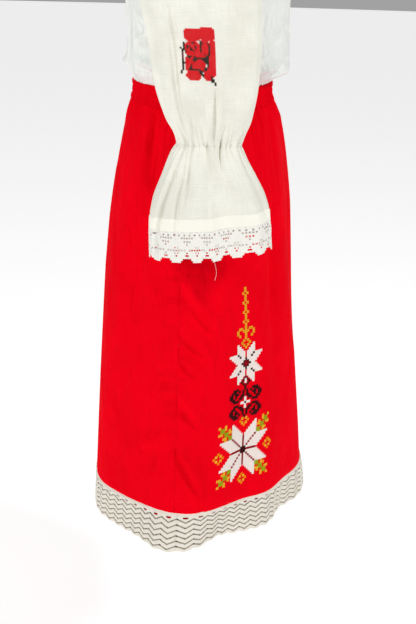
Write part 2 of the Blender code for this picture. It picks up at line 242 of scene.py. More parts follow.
@dataclass(frozen=True)
class Figure:
    """The hollow form that bodice and skirt share, in metres.

    The columns of `sections` are the drop, half the width, and the depth of the front and of the back.
    """

    neck_half: float = 0.078
    neck_front: float = 0.085
    neck_back: float = 0.022
    shoulder_half: float = 0.183
    shoulder_drop: float = 0.043
    shoulder_round: float = 0.095
    underarm: float = 0.212
    scoop: float = 0.016
    waist: float = 0.400
    band: float = 0.028
    hem: float = 0.985
    squareness: float = 2.2
    sections: Sections = field(
        default_factory=lambda: Sections(
            (0.000, 0.190, 0.080, 0.092),
            (0.100, 0.190, 0.106, 0.108),
            (0.212, 0.178, 0.124, 0.112),
            (0.300, 0.166, 0.122, 0.106),
            (0.360, 0.156, 0.124, 0.104),
            (0.384, 0.152, 0.124, 0.103),
            (0.400, 0.136, 0.099, 0.096),
            (0.414, 0.137, 0.099, 0.096),
            (0.428, 0.141, 0.103, 0.099),
            (0.452, 0.152, 0.115, 0.108),
            (0.520, 0.171, 0.129, 0.123),
            (0.600, 0.184, 0.139, 0.134),
            (0.780, 0.203, 0.151, 0.146),
            (0.985, 0.220, 0.170, 0.156),
            (1.045, 0.224, 0.174, 0.159),
        )
    )

    def shoulder(self, x: Array) -> Array:
        """Give the height of the shoulder seam above a place across."""
        share = (np.abs(x) - self.neck_half) / (self.shoulder_half - self.neck_half)
        return -self.shoulder_drop * np.clip(share, 0.0, 1.2)

    def share_down(self, x: Array, z: Array) -> Array:
        """Say how far a place lies down the rounding of the shoulders, from 0 to 1."""
        return np.clip((self.shoulder(x) - z) / self.shoulder_round, 0.0, 1.0)

    def point(self, turn: Array, z: Array, out: Array = 0.0) -> Array:
        """Find points of the form.

        Args:
            turn: Places round it.
            z: Their heights.
            out: How far they are moved out, level.

        Returns:
            One point for each place.
        """
        half, front, back = self.sections.read(-np.asarray(z, dtype=float))
        angle = np.radians(turn)
        across = power(np.sin(angle), 2.0 / self.squareness)
        forward = power(np.cos(angle), 2.0 / self.squareness)
        depth = np.where(forward > 0.0, front, back)
        x = -(half + out) * across
        y = -(depth + out) * forward * np.sqrt(1.0 - (1.0 - self.share_down(x, z)) ** 2)
        return points_of(x, y, z)

    def out_of(self, turn: Array, z: Array) -> Array:
        """Find the way out of the plain form.

        Args:
            turn: Places round it.
            z: Their heights.

        Returns:
            One direction of length 1 for each place.
        """
        step = 0.4
        fall = 0.001
        along = self.point(turn + step, z) - self.point(turn - step, z)
        down = self.point(turn, z - fall) - self.point(turn, z)
        return unit(np.cross(along, down))

    def turn_at(self, x: Array, z: Array) -> Array:
        """Find where the front of the form is a distance out from the middle.

        Args:
            x: Distances across.
            z: Their heights.

        Returns:
            One turn for each place.
        """
        half = self.sections.read(-np.asarray(z, dtype=float))[0]
        share = np.clip(np.abs(x) / half, 0.0, 1.0)
        return np.degrees(np.arcsin(share ** (self.squareness / 2.0)))

    def armhole(self, around: Array) -> tuple[Array, Array]:
        """Place the armhole's edge.

        Args:
            around: Places from the shoulder (0) to the underarm (1).

        Returns:
            How far across and how high each one is.
        """
        angle = math.pi * around
        under = self.sections.read(np.array([self.underarm]))[0][0]
        x = mix(self.shoulder_half, under, around) - self.scoop * np.sin(angle) ** 2
        middle = -(self.shoulder_drop + self.underarm) / 2.0
        return x, middle + (self.underarm - self.shoulder_drop) / 2.0 * np.cos(angle)

    def skirt_turn(self, drop: float, start: float, reach: Array) -> Array:
        """Walk round the skirt by real distances.

        Args:
            drop: How far down the walk is.
            start: The turn it starts from.
            reach: Distances walked towards the front.

        Returns:
            The turn that each walk ends at.
        """
        turns = np.linspace(start - 60.0, start + 60.0, 481)
        line = self.point(turns, np.full_like(turns, -drop))
        length = run_along(line)
        middle = np.interp(start, turns, length)
        return np.interp(middle - reach, length, turns)


FIGURE = Figure()


def lay_cloth(
    name: str,
    surface: Surface,
    columns: Array,
    rows: Array,
    cut: tuple[float, float],
    turned: bool = True,
    closed: bool = False,
    hole: CellTest | None = None,
    finish_of: CellTest | None = None,
) -> bpy.types.Object:
    """Lay a grid on a surface, as one layer of cloth with its own UV map in metres.

    Args:
        name: The piece's name.
        surface: Points of the cloth for shares across and down.
        columns: Shares across at which there are points.
        rows: Shares down at which there are points.
        cut: Width and length that the cloth was cut to.
        turned: Whether the grid's faces have to be turned over to point out.
        closed: Whether the first and last column meet.
        hole: Which cells are left out, by their column and row.
        finish_of: The number of each cell's finish, by its column and row.

    Returns:
        The new piece.
    """
    bm = bmesh.new()
    bmesh.ops.create_grid(bm, x_segments=len(columns) - 1, y_segments=len(rows) - 1, size=1.0)
    if turned:
        bmesh.ops.reverse_faces(bm, faces=bm.faces)
    mesh = bpy.data.meshes.new(name)
    bm.to_mesh(mesh)
    bm.free()
    flat = np.empty(len(mesh.vertices) * 3, np.float32)
    mesh.vertices.foreach_get("co", flat)
    flat = flat.reshape(-1, 3)
    i = np.rint((flat[:, 0] + 1.0) / 2.0 * (len(columns) - 1)).astype(int)
    j = np.rint((1.0 - flat[:, 1]) / 2.0 * (len(rows) - 1)).astype(int)
    u, v = columns[i], rows[j]
    mesh.vertices.foreach_set("co", surface(u, v).astype(np.float32).ravel())
    corners = np.empty(len(mesh.loops), np.int32)
    mesh.loops.foreach_get("vertex_index", corners)
    layer = mesh.uv_layers.new(name="cloth")
    spread = np.column_stack((u[corners] * cut[0], v[corners] * cut[1]))
    layer.data.foreach_set("uv", spread.astype(np.float32).ravel())
    low_i = i[corners].reshape(-1, 4).min(axis=1)
    low_j = j[corners].reshape(-1, 4).min(axis=1)
    if finish_of is not None:
        mesh.polygons.foreach_set("material_index", finish_of(low_i, low_j).astype(np.int32))
    if hole is not None or closed:
        bm = bmesh.new()
        bm.from_mesh(mesh)
        bm.faces.ensure_lookup_table()
        if hole is not None:
            gone = [bm.faces[k] for k in np.flatnonzero(hole(low_i, low_j))]
            bmesh.ops.delete(bm, geom=gone, context="FACES")
        if closed:
            bmesh.ops.remove_doubles(bm, verts=bm.verts, dist=1e-6)
        bm.to_mesh(mesh)
        bm.free()
    mesh.shade_smooth()
    piece = bpy.data.objects.new(name, mesh)
    bpy.context.scene.collection.objects.link(piece)
    return piece


def thicken(piece: bpy.types.Object, wall: float, levels: int = 0) -> None:
    """Give cloth its thickness, inwards, and round it off.

    Args:
        piece: The cloth.
        wall: Its thickness.
        levels: How often Subdivision Surface rounds it.
    """
    solid = piece.modifiers.new("thickness", "SOLIDIFY")
    solid.thickness = wall
    solid.offset = -1.0
    solid.use_even_offset = False
    if levels:
        soft = piece.modifiers.new("soft", "SUBSURF")
        soft.levels = levels
        soft.render_levels = levels


def linear(hex_colour: str) -> tuple[float, float, float, float]:
    """Turn an sRGB hex colour into linear red, green, blue and alpha."""
    shades = [int(hex_colour[k : k + 2], 16) / 255.0 for k in (1, 3, 5)]
    return (*[s / 12.92 if s <= 0.04045 else ((s + 0.055) / 1.055) ** 2.4 for s in shades], 1.0)


def node(
    tree: Tree,
    kind: str,
    values: dict | None = None,
    links: dict | None = None,
) -> bpy.types.Node:
    """Add a node.

    Args:
        tree: The material's tree.
        kind: The node's type.
        values: Settings, and values of inputs, by name.
        links: What feeds its inputs, by name or number.

    Returns:
        The new node.
    """
    made = tree.nodes.new(kind)
    for key, value in (values or {}).items():
        if isinstance(key, int) or key in made.inputs:
            made.inputs[key].default_value = value
        else:
            setattr(made, key, value)
    for key, source in (links or {}).items():
        tree.links.new(source, made.inputs[key])
    return made


@dataclass(frozen=True)
class WovenCotton:
    """Plain-woven or twill cotton: matt, with threads that catch the light and a faint uneven tone.

    `thread` is the spacing of the drawn threads and `depth` how far they stand out. `puckers` is how
    far the cloth draws up beside its side seams, `pucker_reach` how far in from them, and `wrinkles`
    how high it is softly wrinkled. `width` is the width it was cut to, and `hem_from` is how far down
    its double hem starts, where it is opaque and so of the hem's colour.
    """

    name: str
    slot: str
    colour: str
    shade: str
    thread: float
    depth: float
    roughness: float = 0.95
    sheen_of_cotton: float = 0.02
    thread_run: float = 24.0
    blotch: float = 14.0
    puckers: float = 0.0
    pucker_reach: float = 0.055
    width: float = 1.0
    hem_from: float = 9.0
    hem_colour: str = "#FFFFFF"
    wrinkles: float = 0.0

    def make(self) -> bpy.types.Material:
        """Build the finish; the weave is drawn about twice as coarse as real threads, so that it shows.

        Returns:
            The material.
        """
        material = bpy.data.materials.new(self.name)
        material.use_nodes = True
        tree = material.node_tree
        shader = tree.nodes["Principled BSDF"]
        shader.inputs["Roughness"].default_value = self.roughness
        shader.inputs["Metallic"].default_value = 0.0
        shader.inputs["Specular IOR Level"].default_value = self.sheen_of_cotton
        place = node(tree, "ShaderNodeUVMap", {"uv_map": "cloth"}).outputs["UV"]
        thick = 1.0 / self.thread
        long = thick / self.thread_run
        weft = self.noise(tree, place, (long, thick, 1.0), 2.0)
        warp = self.noise(tree, place, (thick, long, 1.0), 2.0)
        threads = node(tree, "ShaderNodeMath", {"operation": "ADD"}, {0: weft, 1: warp})
        cloud = self.noise(tree, place, (self.blotch, self.blotch, 1.0), 3.0)
        both = {0: threads.outputs[0], 1: cloud}
        tone = node(tree, "ShaderNodeMath", {"operation": "MULTIPLY"}, both)
        spread = {"From Min": 0.34, "From Max": 0.68, "To Min": 0.0, "To Max": 1.0}
        tone = node(tree, "ShaderNodeMapRange", spread, {"Value": tone.outputs[0]})
        blend = node(tree, "ShaderNodeMix", {"data_type": "RGBA"}, {0: tone.outputs[0]})
        blend.inputs[6].default_value = linear(self.shade)
        blend.inputs[7].default_value = linear(self.colour)
        parts = node(tree, "ShaderNodeSeparateXYZ", {}, {0: place})
        past_hem = {"operation": "GREATER_THAN", 1: self.hem_from}
        in_hem = node(tree, "ShaderNodeMath", past_hem, {0: parts.outputs[1]})
        choice = {0: in_hem.outputs[0], 6: blend.outputs[2]}
        hem = node(tree, "ShaderNodeMix", {"data_type": "RGBA"}, choice)
        hem.inputs[7].default_value = linear(self.hem_colour)
        tree.links.new(hem.outputs[2], shader.inputs["Base Color"])
        drawn = self.drawn(tree, place, parts.outputs[0])
        bump = self.raised(tree, threads.outputs[0], self.depth, drawn)
        tree.links.new(bump, shader.inputs["Normal"])
        return material

    def noise(self, tree: Tree, place: Socket, scale: tuple, detail: float) -> Socket:
        """Add noise.

        Args:
            tree: The material's tree.
            place: Places on the cloth.
            scale: How many waves to a metre, in each direction of the cloth.
            detail: How fine the noise goes.

        Returns:
            The noise's values.
        """
        turned = node(tree, "ShaderNodeMapping", {"Scale": scale}, {"Vector": place})
        settings = {"Scale": 1.0, "Detail": detail}
        return node(tree, "ShaderNodeTexNoise", settings, {"Vector": turned.outputs[0]}).outputs[0]

    def raised(self, tree: Tree, height: Socket, distance: float, under: Socket | None = None) -> Socket:
        """Add a bump.

        Args:
            tree: The material's tree.
            height: How high each place is, from 0 to 1.
            distance: How high 1 is.
            under: A coarser bump that this one lies on.

        Returns:
            The bumped normals.
        """
        links = {"Height": height} if under is None else {"Height": height, "Normal": under}
        return node(tree, "ShaderNodeBump", {"Strength": 1.0, "Distance": distance}, links).outputs[0]

    def drawn(self, tree: Tree, place: Socket, across: Socket) -> Socket:
        """Shade the cloth as drawn up beside its seams, and softly wrinkled all over.

        Args:
            tree: The material's tree.
            place: Places on the cloth.
            across: How far across they are.

        Returns:
            The bumped normals.
        """
        other = node(tree, "ShaderNodeMath", {"operation": "SUBTRACT", 0: self.width}, {1: across})
        edges = {0: across, 1: other.outputs[0]}
        off = node(tree, "ShaderNodeMath", {"operation": "MINIMUM"}, edges)
        fade = {"interpolation_type": "SMOOTHSTEP", "From Min": 0.0, "From Max": self.pucker_reach}
        fade |= {"To Min": 1.0, "To Max": 0.0}
        near = node(tree, "ShaderNodeMapRange", fade, {"Value": off.outputs[0]})
        ripple = self.noise(tree, place, (9.0, 48.0, 1.0), 1.5)
        faded = {0: ripple, 1: near.outputs[0]}
        pucker = node(tree, "ShaderNodeMath", {"operation": "MULTIPLY"}, faded)
        first = self.raised(tree, pucker.outputs[0], self.puckers)
        soft = self.noise(tree, place, (26.0, 13.0, 1.0), 2.5)
        return self.raised(tree, soft, self.wrinkles, first)


@dataclass(frozen=True)
class CottonThread:
    """Spun cotton thread of lace or embroidery: matt and fuzzy, with a twist that breaks its tone."""

    name: str
    slot: str
    colour: str
    shade: str
    strand: float = 0.0009
    roughness: float = 0.9
    sheen_of_cotton: float = 0.03

    def make(self) -> bpy.types.Material:
        """Build the finish from the piece's own place in metres.

        Returns:
            The material.
        """
        material = bpy.data.materials.new(self.name)
        material.use_nodes = True
        tree = material.node_tree
        shader = tree.nodes["Principled BSDF"]
        shader.inputs["Roughness"].default_value = self.roughness
        shader.inputs["Metallic"].default_value = 0.0
        shader.inputs["Specular IOR Level"].default_value = self.sheen_of_cotton
        place = node(tree, "ShaderNodeTexCoord").outputs["Object"]
        settings = {"Scale": 1.0 / self.strand, "Detail": 3.0}
        twist = node(tree, "ShaderNodeTexNoise", settings, {"Vector": place})
        blend = node(tree, "ShaderNodeMix", {"data_type": "RGBA"}, {0: twist.outputs[0]})
        blend.inputs[6].default_value = linear(self.shade)
        blend.inputs[7].default_value = linear(self.colour)
        tree.links.new(blend.outputs[2], shader.inputs["Base Color"])
        relief = {"Distance": self.strand / 3.0}
        bump = node(tree, "ShaderNodeBump", relief, {"Height": twist.outputs[0]})
        tree.links.new(bump.outputs[0], shader.inputs["Normal"])
        return material


RED = WovenCotton(
    "red_cotton_twill",
    "skirt_cotton",
    "#F20018",
    "#E80015",
    0.0011,
    0.00012,
    puckers=0.0080,
    width=0.64,
    wrinkles=0.010,
)
BAND_RED = WovenCotton("shirred_red_cotton", "skirt_cotton", "#EC0018", "#DE0014", 0.0011, 0.00012)
SLEEVE_WHITE = WovenCotton(
    "sheer_white_cotton",
    "blouse_cotton",
    "#EFEEE3",
    "#E1E0D4",
    0.0010,
    0.00010,
    hem_from=0.482,
    hem_colour="#F3F2E6",
    wrinkles=0.006,
)
BODICE_WHITE = WovenCotton(
    "white_cotton",
    "blouse_cotton",
    "#EDEFEB",
    "#E1E4E0",
    0.0010,
    0.00010,
    wrinkles=0.014,
)
CROCHET = CottonThread("crochet_cotton", "crochet_lace", "#F6F2E8", "#DCD4C6", 0.0014)
# Painted shade: darker copies of the crochet cotton. They colour the grooves between the hem lace's
# rows, and some gaps in the grooves are darker still, as painted shadow in place of holes.
GROOVE_PAINTED_SHADE = CottonThread("crochet_cotton_painted_groove_shade", "crochet_lace", "#B0A798", "#94897A", 0.0014)
GAP_PAINTED_SHADOW = CottonThread("crochet_cotton_painted_gap_shadow", "crochet_lace", "#6E665A", "#4E4840", 0.0014)
BOBBIN = CottonThread("bobbin_lace_cotton", "sleeve_lace", "#F4F3EC", "#E8E6DE", 0.0009)
WHITE_FLOSS = CottonThread("white_floss", "skirt_cotton", "#FBF3EE", "#F0E2DA")
GOLD_FLOSS = CottonThread("gold_floss", "skirt_cotton", "#F0B030", "#E09820")
YELLOW_FLOSS = CottonThread("yellow_floss", "skirt_cotton", "#F4BC38", "#E8A828")
ORANGE_FLOSS = CottonThread("orange_floss", "skirt_cotton", "#FF8C14", "#F07808")
GREEN_FLOSS = CottonThread("green_floss", "skirt_cotton", "#A8B81C", "#8A9A18")
DARK_FLOSS = CottonThread("dark_brown_floss", "skirt_cotton", "#3A1A1C", "#241012")
WINE_FLOSS = CottonThread("wine_floss", "skirt_cotton", "#A01820", "#84101A")
ROSE_FLOSS = CottonThread("rose_red_floss", "blouse_cotton", "#E8101E", "#D00A18")
PLUM_FLOSS = CottonThread("plum_floss", "blouse_cotton", "#8A4050", "#743444")
LEAF_FLOSS = CottonThread("dark_green_floss", "blouse_cotton", "#2C2E26", "#1C1E18")


@dataclass
class Wardrobe:
    """Makes each finish once and hands it out."""

    made: dict[str, bpy.types.Material] = field(default_factory=dict)

    def get(self, finish: WovenCotton | CottonThread) -> bpy.types.Material:
        """Give the material of a finish.

        Args:
            finish: What the piece is made of.

        Returns:
            Its material, the same one each time.
        """
        if finish.name not in self.made:
            self.made[finish.name] = finish.make()
        return self.made[finish.name]


WARDROBE = Wardrobe()


def settle(piece: bpy.types.Object, slot: str, replaced: tuple[str, ...] = ()) -> None:
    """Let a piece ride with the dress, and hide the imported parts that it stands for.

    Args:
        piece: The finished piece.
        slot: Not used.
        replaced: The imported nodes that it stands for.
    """
    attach(piece, "root")
    if replaced:
        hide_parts(*replaced)
    LOG.info("piece %s: %d faces", piece.name, len(piece.data.polygons))


@dataclass
class Skirt:
    """Shirred waistband, front and back of the red skirt, and its crocheted lace.

    Lengths are in metres. A `tuck` is how far an edge runs on behind its neighbour, and a `tuck_in` how
    far it is set back there. `seam_swing` and `seam_width` are in degrees of turn, and `hem_share` is
    how far down the panel, from 0 to 1, its hem is turned in behind the lace.
    """

    wall: float = 0.0010
    gathers: int = 48
    gather_rise: float = 0.0010
    gather_reach: float = 0.10
    flat_width: float = 0.64
    tuck: float = 0.004
    tuck_in: float = 0.0013
    band_wall: float = 0.0012
    band_flat: float = 0.90
    band_out: float = 0.0006
    band_gather_rise: float = 0.0009
    elastic_rows: float = 3.0
    shirrs: int = 128
    shirr_rise: float = 0.0024
    lace_wall: float = 0.0012
    lace_flat: float = 0.62
    lace_height: float = 0.054
    lace_rows: int = 7
    lace_cells: int = 12
    lace_ridge: float = 0.0026
    lace_stitch: float = 0.00035
    lace_tuck: float = 0.003
    lace_tuck_in: float = 0.0018
    lace_ripple: float = 0.0054
    ripples: int = 58
    seam_gap: float = 0.0003
    seam_dip: float = 0.0002
    seam_width: float = 0.45
    seam_swing: float = 1.5
    hem_turning: float = 0.008
    hem_share: float = 0.995
    hem_behind: float = 0.0034
    folds: tuple[Fold, ...] = (
        Fold(113.0, 0.42, 0.57, 5.5, -0.0065, 2.0),
        Fold(98.0, 0.42, 0.54, 5.0, -0.0040, 0.0),
        Fold(119.0, 0.53, 0.68, 7.0, -0.0075, 5.0),
        Fold(122.0, 0.60, 1.02, 8.0, -0.0035, -44.0),
        Fold(83.0, 0.62, 1.30, 12.0, 0.0100, 0.0),
        Fold(57.0, 0.64, 1.30, 11.0, -0.0100, 0.0),
        Fold(44.0, 0.42, 0.53, 5.0, -0.0045, 2.0),
        Fold(34.0, 0.56, 0.88, 6.5, -0.0055, 1.0),
        Fold(8.0, 0.44, 0.80, 7.0, -0.0050, 3.0),
        Fold(16.0, 0.60, 1.30, 12.0, 0.0080, -4.0),
        Fold(-14.0, 0.58, 1.30, 11.0, -0.0090, 3.0),
        Fold(-30.0, 0.42, 0.62, 6.0, -0.0055, -2.0),
        Fold(-55.0, 0.50, 1.00, 8.0, -0.0055, 12.0),
        Fold(-72.0, 0.62, 1.30, 12.0, 0.0080, 4.0),
        Fold(-100.0, 0.60, 1.30, 12.0, -0.0085, 0.0),
        Fold(-112.0, 0.42, 0.60, 6.0, -0.0060, -3.0),
        Fold(-138.0, 0.46, 0.92, 8.0, -0.0055, 8.0),
        Fold(-150.0, 0.62, 1.30, 12.0, 0.0085, 3.0),
        Fold(166.0, 0.42, 0.66, 7.0, -0.0060, 2.0),
        Fold(176.0, 0.60, 1.30, 12.0, -0.0090, -4.0),
        Fold(140.0, 0.62, 1.30, 12.0, 0.0075, 0.0),
        Fold(95.0, 0.975, 1.13, 11.0, 0.0200),
        Fold(71.0, 0.975, 1.13, 10.0, -0.0170),
        Fold(29.0, 0.975, 1.13, 9.0, -0.0110),
        Fold(2.0, 0.975, 1.13, 10.0, 0.0080),
        Fold(-28.0, 0.975, 1.13, 9.0, -0.0090),
        Fold(-64.0, 0.975, 1.13, 10.0, -0.0120),
        Fold(-92.0, 0.975, 1.13, 10.0, 0.0160),
        Fold(-150.0, 0.975, 1.13, 11.0, -0.0100),
        Fold(178.0, 0.975, 1.13, 10.0, 0.0110),
    )
    creases: tuple[Fold | Crease, ...] = (
        Fold(116.5, 0.425, 0.525, 2.4, -0.0056),
        Fold(111.5, 0.440, 0.560, 2.8, -0.0064, -1.0),
        Fold(120.5, 0.430, 0.490, 1.8, 0.0032),
        Fold(105.0, 0.425, 0.500, 2.0, -0.0044),
        Fold(114.0, 0.520, 0.720, 4.0, -0.0055, 4.0),
        Fold(35.0, 0.540, 0.780, 3.4, -0.0080, -4.0),
        Fold(46.0, 0.424, 0.500, 2.4, -0.0040),
        Fold(38.5, 0.424, 0.472, 1.7, -0.0045),
        Fold(27.0, 0.424, 0.520, 2.4, -0.0046, 1.0),
        Fold(-18.0, 0.424, 0.500, 2.2, -0.0048),
        Fold(-47.0, 0.424, 0.525, 2.5, -0.0052, -1.0),
        Fold(-79.0, 0.426, 0.490, 2.1, -0.0042),
        Fold(-108.0, 0.424, 0.515, 2.4, -0.0052, 1.0),
        Fold(-143.0, 0.424, 0.495, 2.2, -0.0045),
        Fold(160.0, 0.426, 0.520, 2.6, -0.0052, -1.0),
        Crease((92.0, 0.652), (71.0, 0.734), 0.0130, 0.0048),
        Crease((93.0, 0.712), (76.0, 0.756), 0.0110, 0.0046),
        Crease((91.5, 0.752), (81.0, 0.782), 0.0100, 0.0042),
        Crease((103.0, 0.773), (90.5, 0.769), 0.0070, 0.0030),
        Crease((103.0, 0.791), (90.0, 0.783), 0.0070, 0.0028),
        Crease((103.0, 0.818), (90.0, 0.803), 0.0080, 0.0032),
        Crease((92.0, 0.808), (80.5, 0.855), 0.0120, 0.0050),
        Crease((93.0, 0.872), (79.0, 0.966), 0.0140, 0.0052),
        Crease((112.0, 0.900), (96.0, 0.884), 0.0100, 0.0030),
        Crease((-88.0, 0.660), (-72.0, 0.736), 0.0100, 0.0028),
        Crease((-92.0, 0.770), (-82.0, 0.795), 0.0080, 0.0026),
        Crease((-92.0, 0.830), (-80.0, 0.872), 0.0100, 0.0030),
    )

    @staticmethod
    def fullness(turn: Array, middle: float) -> Array:
        """Say how full the gathers are, unevenly about a middle value."""
        return np.clip(middle + 0.5 * wander(turn, 7, (5, 11, 19)), 0.0, 1.2)

    def shirr(self, turn: Array, drop: Array) -> Array:
        """Say how far the fine gathers of the elastic stand out, shifted from row to row.

        Args:
            turn: Places round the skirt.
            drop: Places down it.

        Returns:
            The rise at each place.
        """
        shift = 0.9 * wander(turn, 3, (5, 9, 14)) + 0.5 * wander(turn + 900.0 * drop, 4, (7, 17))
        height = 0.75 + 0.35 * wander(turn, 5, (11, 23, 31))
        return self.shirr_rise * height * np.cos(np.radians(self.shirrs * turn) + shift)

    def out(self, turn: Array, drop: Array) -> Array:
        """Say how far the skirt's folds and gathers stand out of its plain form.

        Args:
            turn: Places round the skirt.
            drop: Places down it.

        Returns:
            The whole rise at each place.
        """
        low = (drop - FIGURE.waist - FIGURE.band) / self.gather_reach
        shift = 1.3 * wander(turn, 8, (4, 9))
        ridges = np.cos(np.radians(self.gathers * turn) + shift)
        coarse = self.gather_rise * self.fullness(turn, 0.55) * (1.0 - smooth(low)) * ridges
        reach = 0.30 + 0.22 * wander(turn, 6, (13, 29, 37))
        fine = self.shirr(turn, drop) * (1.0 - smooth(low / np.clip(reach, 0.12, 0.8)))
        off_seam = np.abs((turn - self.seam_swing) % 180.0 - 90.0)
        fade = smooth(2.0 * low) * smooth((FIGURE.hem - drop) / 0.05)
        seam = -self.seam_dip * np.exp(-((off_seam / self.seam_width) ** 2)) * fade
        return coarse + fine + seam + rise_of(self.folds + self.creases, turn, drop)

    def place(self, turn: Array, drop: Array, out: Array = 0.0) -> Array:
        """Find points on the skirt's outer face, moved out by `out`."""
        return FIGURE.point(turn, -drop, self.out(turn, drop) + out)

    def build(self) -> None:
        """Make every piece of the skirt."""
        self.build_band()
        for level, first in ((Level.FRONT, -90.0), (Level.BACK, 90.0)):
            self.build_panel(level, first + self.seam_swing)
            self.build_lace(level, first)

    def build_band(self) -> None:
        """Make the waistband, whose fine gathers three rows of elastic pinch."""
        top = FIGURE.waist + self.seam_gap

        def surface(u: Array, v: Array) -> Array:
            """Find points of the band.

            Args:
                u: Shares round it.
                v: Shares down it.

            Returns:
                One point for each place.
            """
            turn = 360.0 * u
            drop = top + v * (FIGURE.band - self.seam_gap)
            pinch = np.abs(np.sin(math.pi * self.elastic_rows * v)) ** 0.4
            ridges = np.cos(np.radians(self.gathers * turn))
            coarse = self.band_out + self.band_gather_rise * self.fullness(turn, 0.5) * ridges
            return FIGURE.point(turn, -drop, coarse + self.shirr(turn, drop) * (0.45 + 0.55 * pinch))

        points_to_a_shirr = 4
        columns = np.linspace(0.0, 1.0, self.shirrs * points_to_a_shirr + 1)
        rows = np.linspace(0.0, 1.0, 16)
        cut = (2.0 * self.flat_width, FIGURE.band)
        piece = lay_cloth("waistband_shirred", surface, columns, rows, cut, closed=True)
        thicken(piece, self.band_wall)
        piece.data.materials.append(WARDROBE.get(BAND_RED))
        settle(piece, BAND_RED.slot, ("waistband",))

    def build_panel(self, level: Level, first: float) -> None:
        """Make the front or back of the skirt, whose top is tucked in behind the waistband.

        Args:
            level: Which panel it is.
            first: The turn it starts at.
        """
        top = FIGURE.waist + FIGURE.band - self.tuck

        def surface(u: Array, v: Array) -> Array:
            """Find points of the panel.

            Args:
                u: Shares across it.
                v: Shares down it.

            Returns:
                One point for each place.
            """
            turn = first + 180.0 * u
            drop = top + (FIGURE.hem - top) * v
            turned_in = np.maximum(v - self.hem_share, 0.0) / (1.0 - self.hem_share)
            drop = drop + self.hem_turning * turned_in
            behind = self.hem_behind * smooth((drop - FIGURE.hem + 0.0002) / 0.0012)
            at_top = 1.0 - smooth((drop - top) / self.tuck)
            return self.place(turn, drop, -self.tuck_in * at_top - behind)

        beside_seam = np.linspace(0.0, 0.010, 5)[:-1]
        columns = np.concatenate((beside_seam, np.linspace(0.010, 0.990, 293), 1.0 - beside_seam[::-1]))
        gathered = np.linspace(0.0, 0.14, 24)[:-1]
        hanging = np.linspace(0.14, self.hem_share, 116)
        rows = np.concatenate((gathered, hanging, (0.9965, 0.998, 1.0)))
        cut = (self.flat_width, FIGURE.hem - top)
        piece = lay_cloth("skirt_panel_" + level.value, surface, columns, rows, cut)
        thicken(piece, self.wall)
        piece.data.materials.append(WARDROBE.get(RED))
        settle(piece, RED.slot, ("skirt_" + level.value,))

    def build_lace(self, level: Level, first: float) -> None:
        """Make half of the crocheted hem, whose rows rise and fall in ripples.

        Args:
            level: Which half it is.
            first: The turn it starts at.
        """
        periods = self.ripples // 2
        cells = self.lace_cells
        parts = (0.0, 0.14, 0.32, 0.55, 0.80)

        def surface(u: Array, v: Array) -> Array:
            """Find points of the lace.

            Args:
                u: Shares across it.
                v: Shares down it.

            Returns:
                One point for each place.
            """
            turn = first + 180.0 * u
            wave = u * periods
            zigzag = 1.0 - np.abs(2.0 * (wave % 1.0) - 1.0)
            swing = np.minimum(v * 7.0, 1.0) * (1.0 - 0.55 * smooth((v - 0.85) / 0.15))
            drop = self.lace_height * v + self.lace_ripple * (zigzag - 0.3) * swing
            row = self.lace_rows * v
            ridge = np.abs(np.sin(math.pi * row)) ** 0.5
            stitch = self.lace_stitch * np.cos(math.tau * (wave * 9.0 + 0.5 * np.floor(row)))
            out = self.lace_ridge * (ridge - 0.6) + stitch * ridge
            drop = drop + FIGURE.hem - self.lace_tuck * (1.0 - np.minimum(v * 20.0, 1.0))
            out = out - self.lace_tuck_in * (1.0 - smooth(v * 20.0))
            return FIGURE.point(turn, -drop, rise_of(self.folds, turn, drop) + out)

        def hole(i: Array, j: Array) -> Array:
            """Leave out one slot in each ripple, under the first row."""
            return (j == 2) & (i % cells >= 4) & (i % cells <= 7)

        # Painted shade: the cells of the grooves take darker cotton as painted shade, and chosen gaps in
        # the grooves take darker cotton still, as painted shadow.
        def painted_shade_of_cell(i: Array, j: Array) -> Array:
            """Number each cell's finish.

            Args:
                i: Its column.
                j: Its row.

            Returns:
                0 on a row of crochet, 1 on a groove between rows, coloured darker as painted shade, and
                2 on a gap in a groove, coloured darker still as painted shadow in place of a hole.
            """
            column, part, row = i % cells, j % len(parts), j // len(parts)
            line = (part == 0) & (row > 0)
            gap_shadow = ((column == 6) & (row % 2 == 0)) | (column == 11) | ((column == 3) & (row % 3 == 1))
            return line * 1 + (line & gap_shadow) * 1

        columns = np.linspace(0.0, 1.0, periods * cells + 1)
        starts = [(k + part) / self.lace_rows for k in range(self.lace_rows) for part in parts]
        rows = np.array(starts + [1.0])
        cut = (self.lace_flat, self.lace_height + self.lace_ripple / 2.0)
        name = "hem_lace_" + level.value
        piece = lay_cloth(name, surface, columns, rows, cut, hole=hole, finish_of=painted_shade_of_cell)
        thicken(piece, self.lace_wall)
        # The second and third finishes are the grooves' painted shade and painted shadow.
        for finish in (CROCHET, GROOVE_PAINTED_SHADE, GAP_PAINTED_SHADOW):
            piece.data.materials.append(WARDROBE.get(finish))
        settle(piece, CROCHET.slot, ("skirt_lace_" + level.value,))


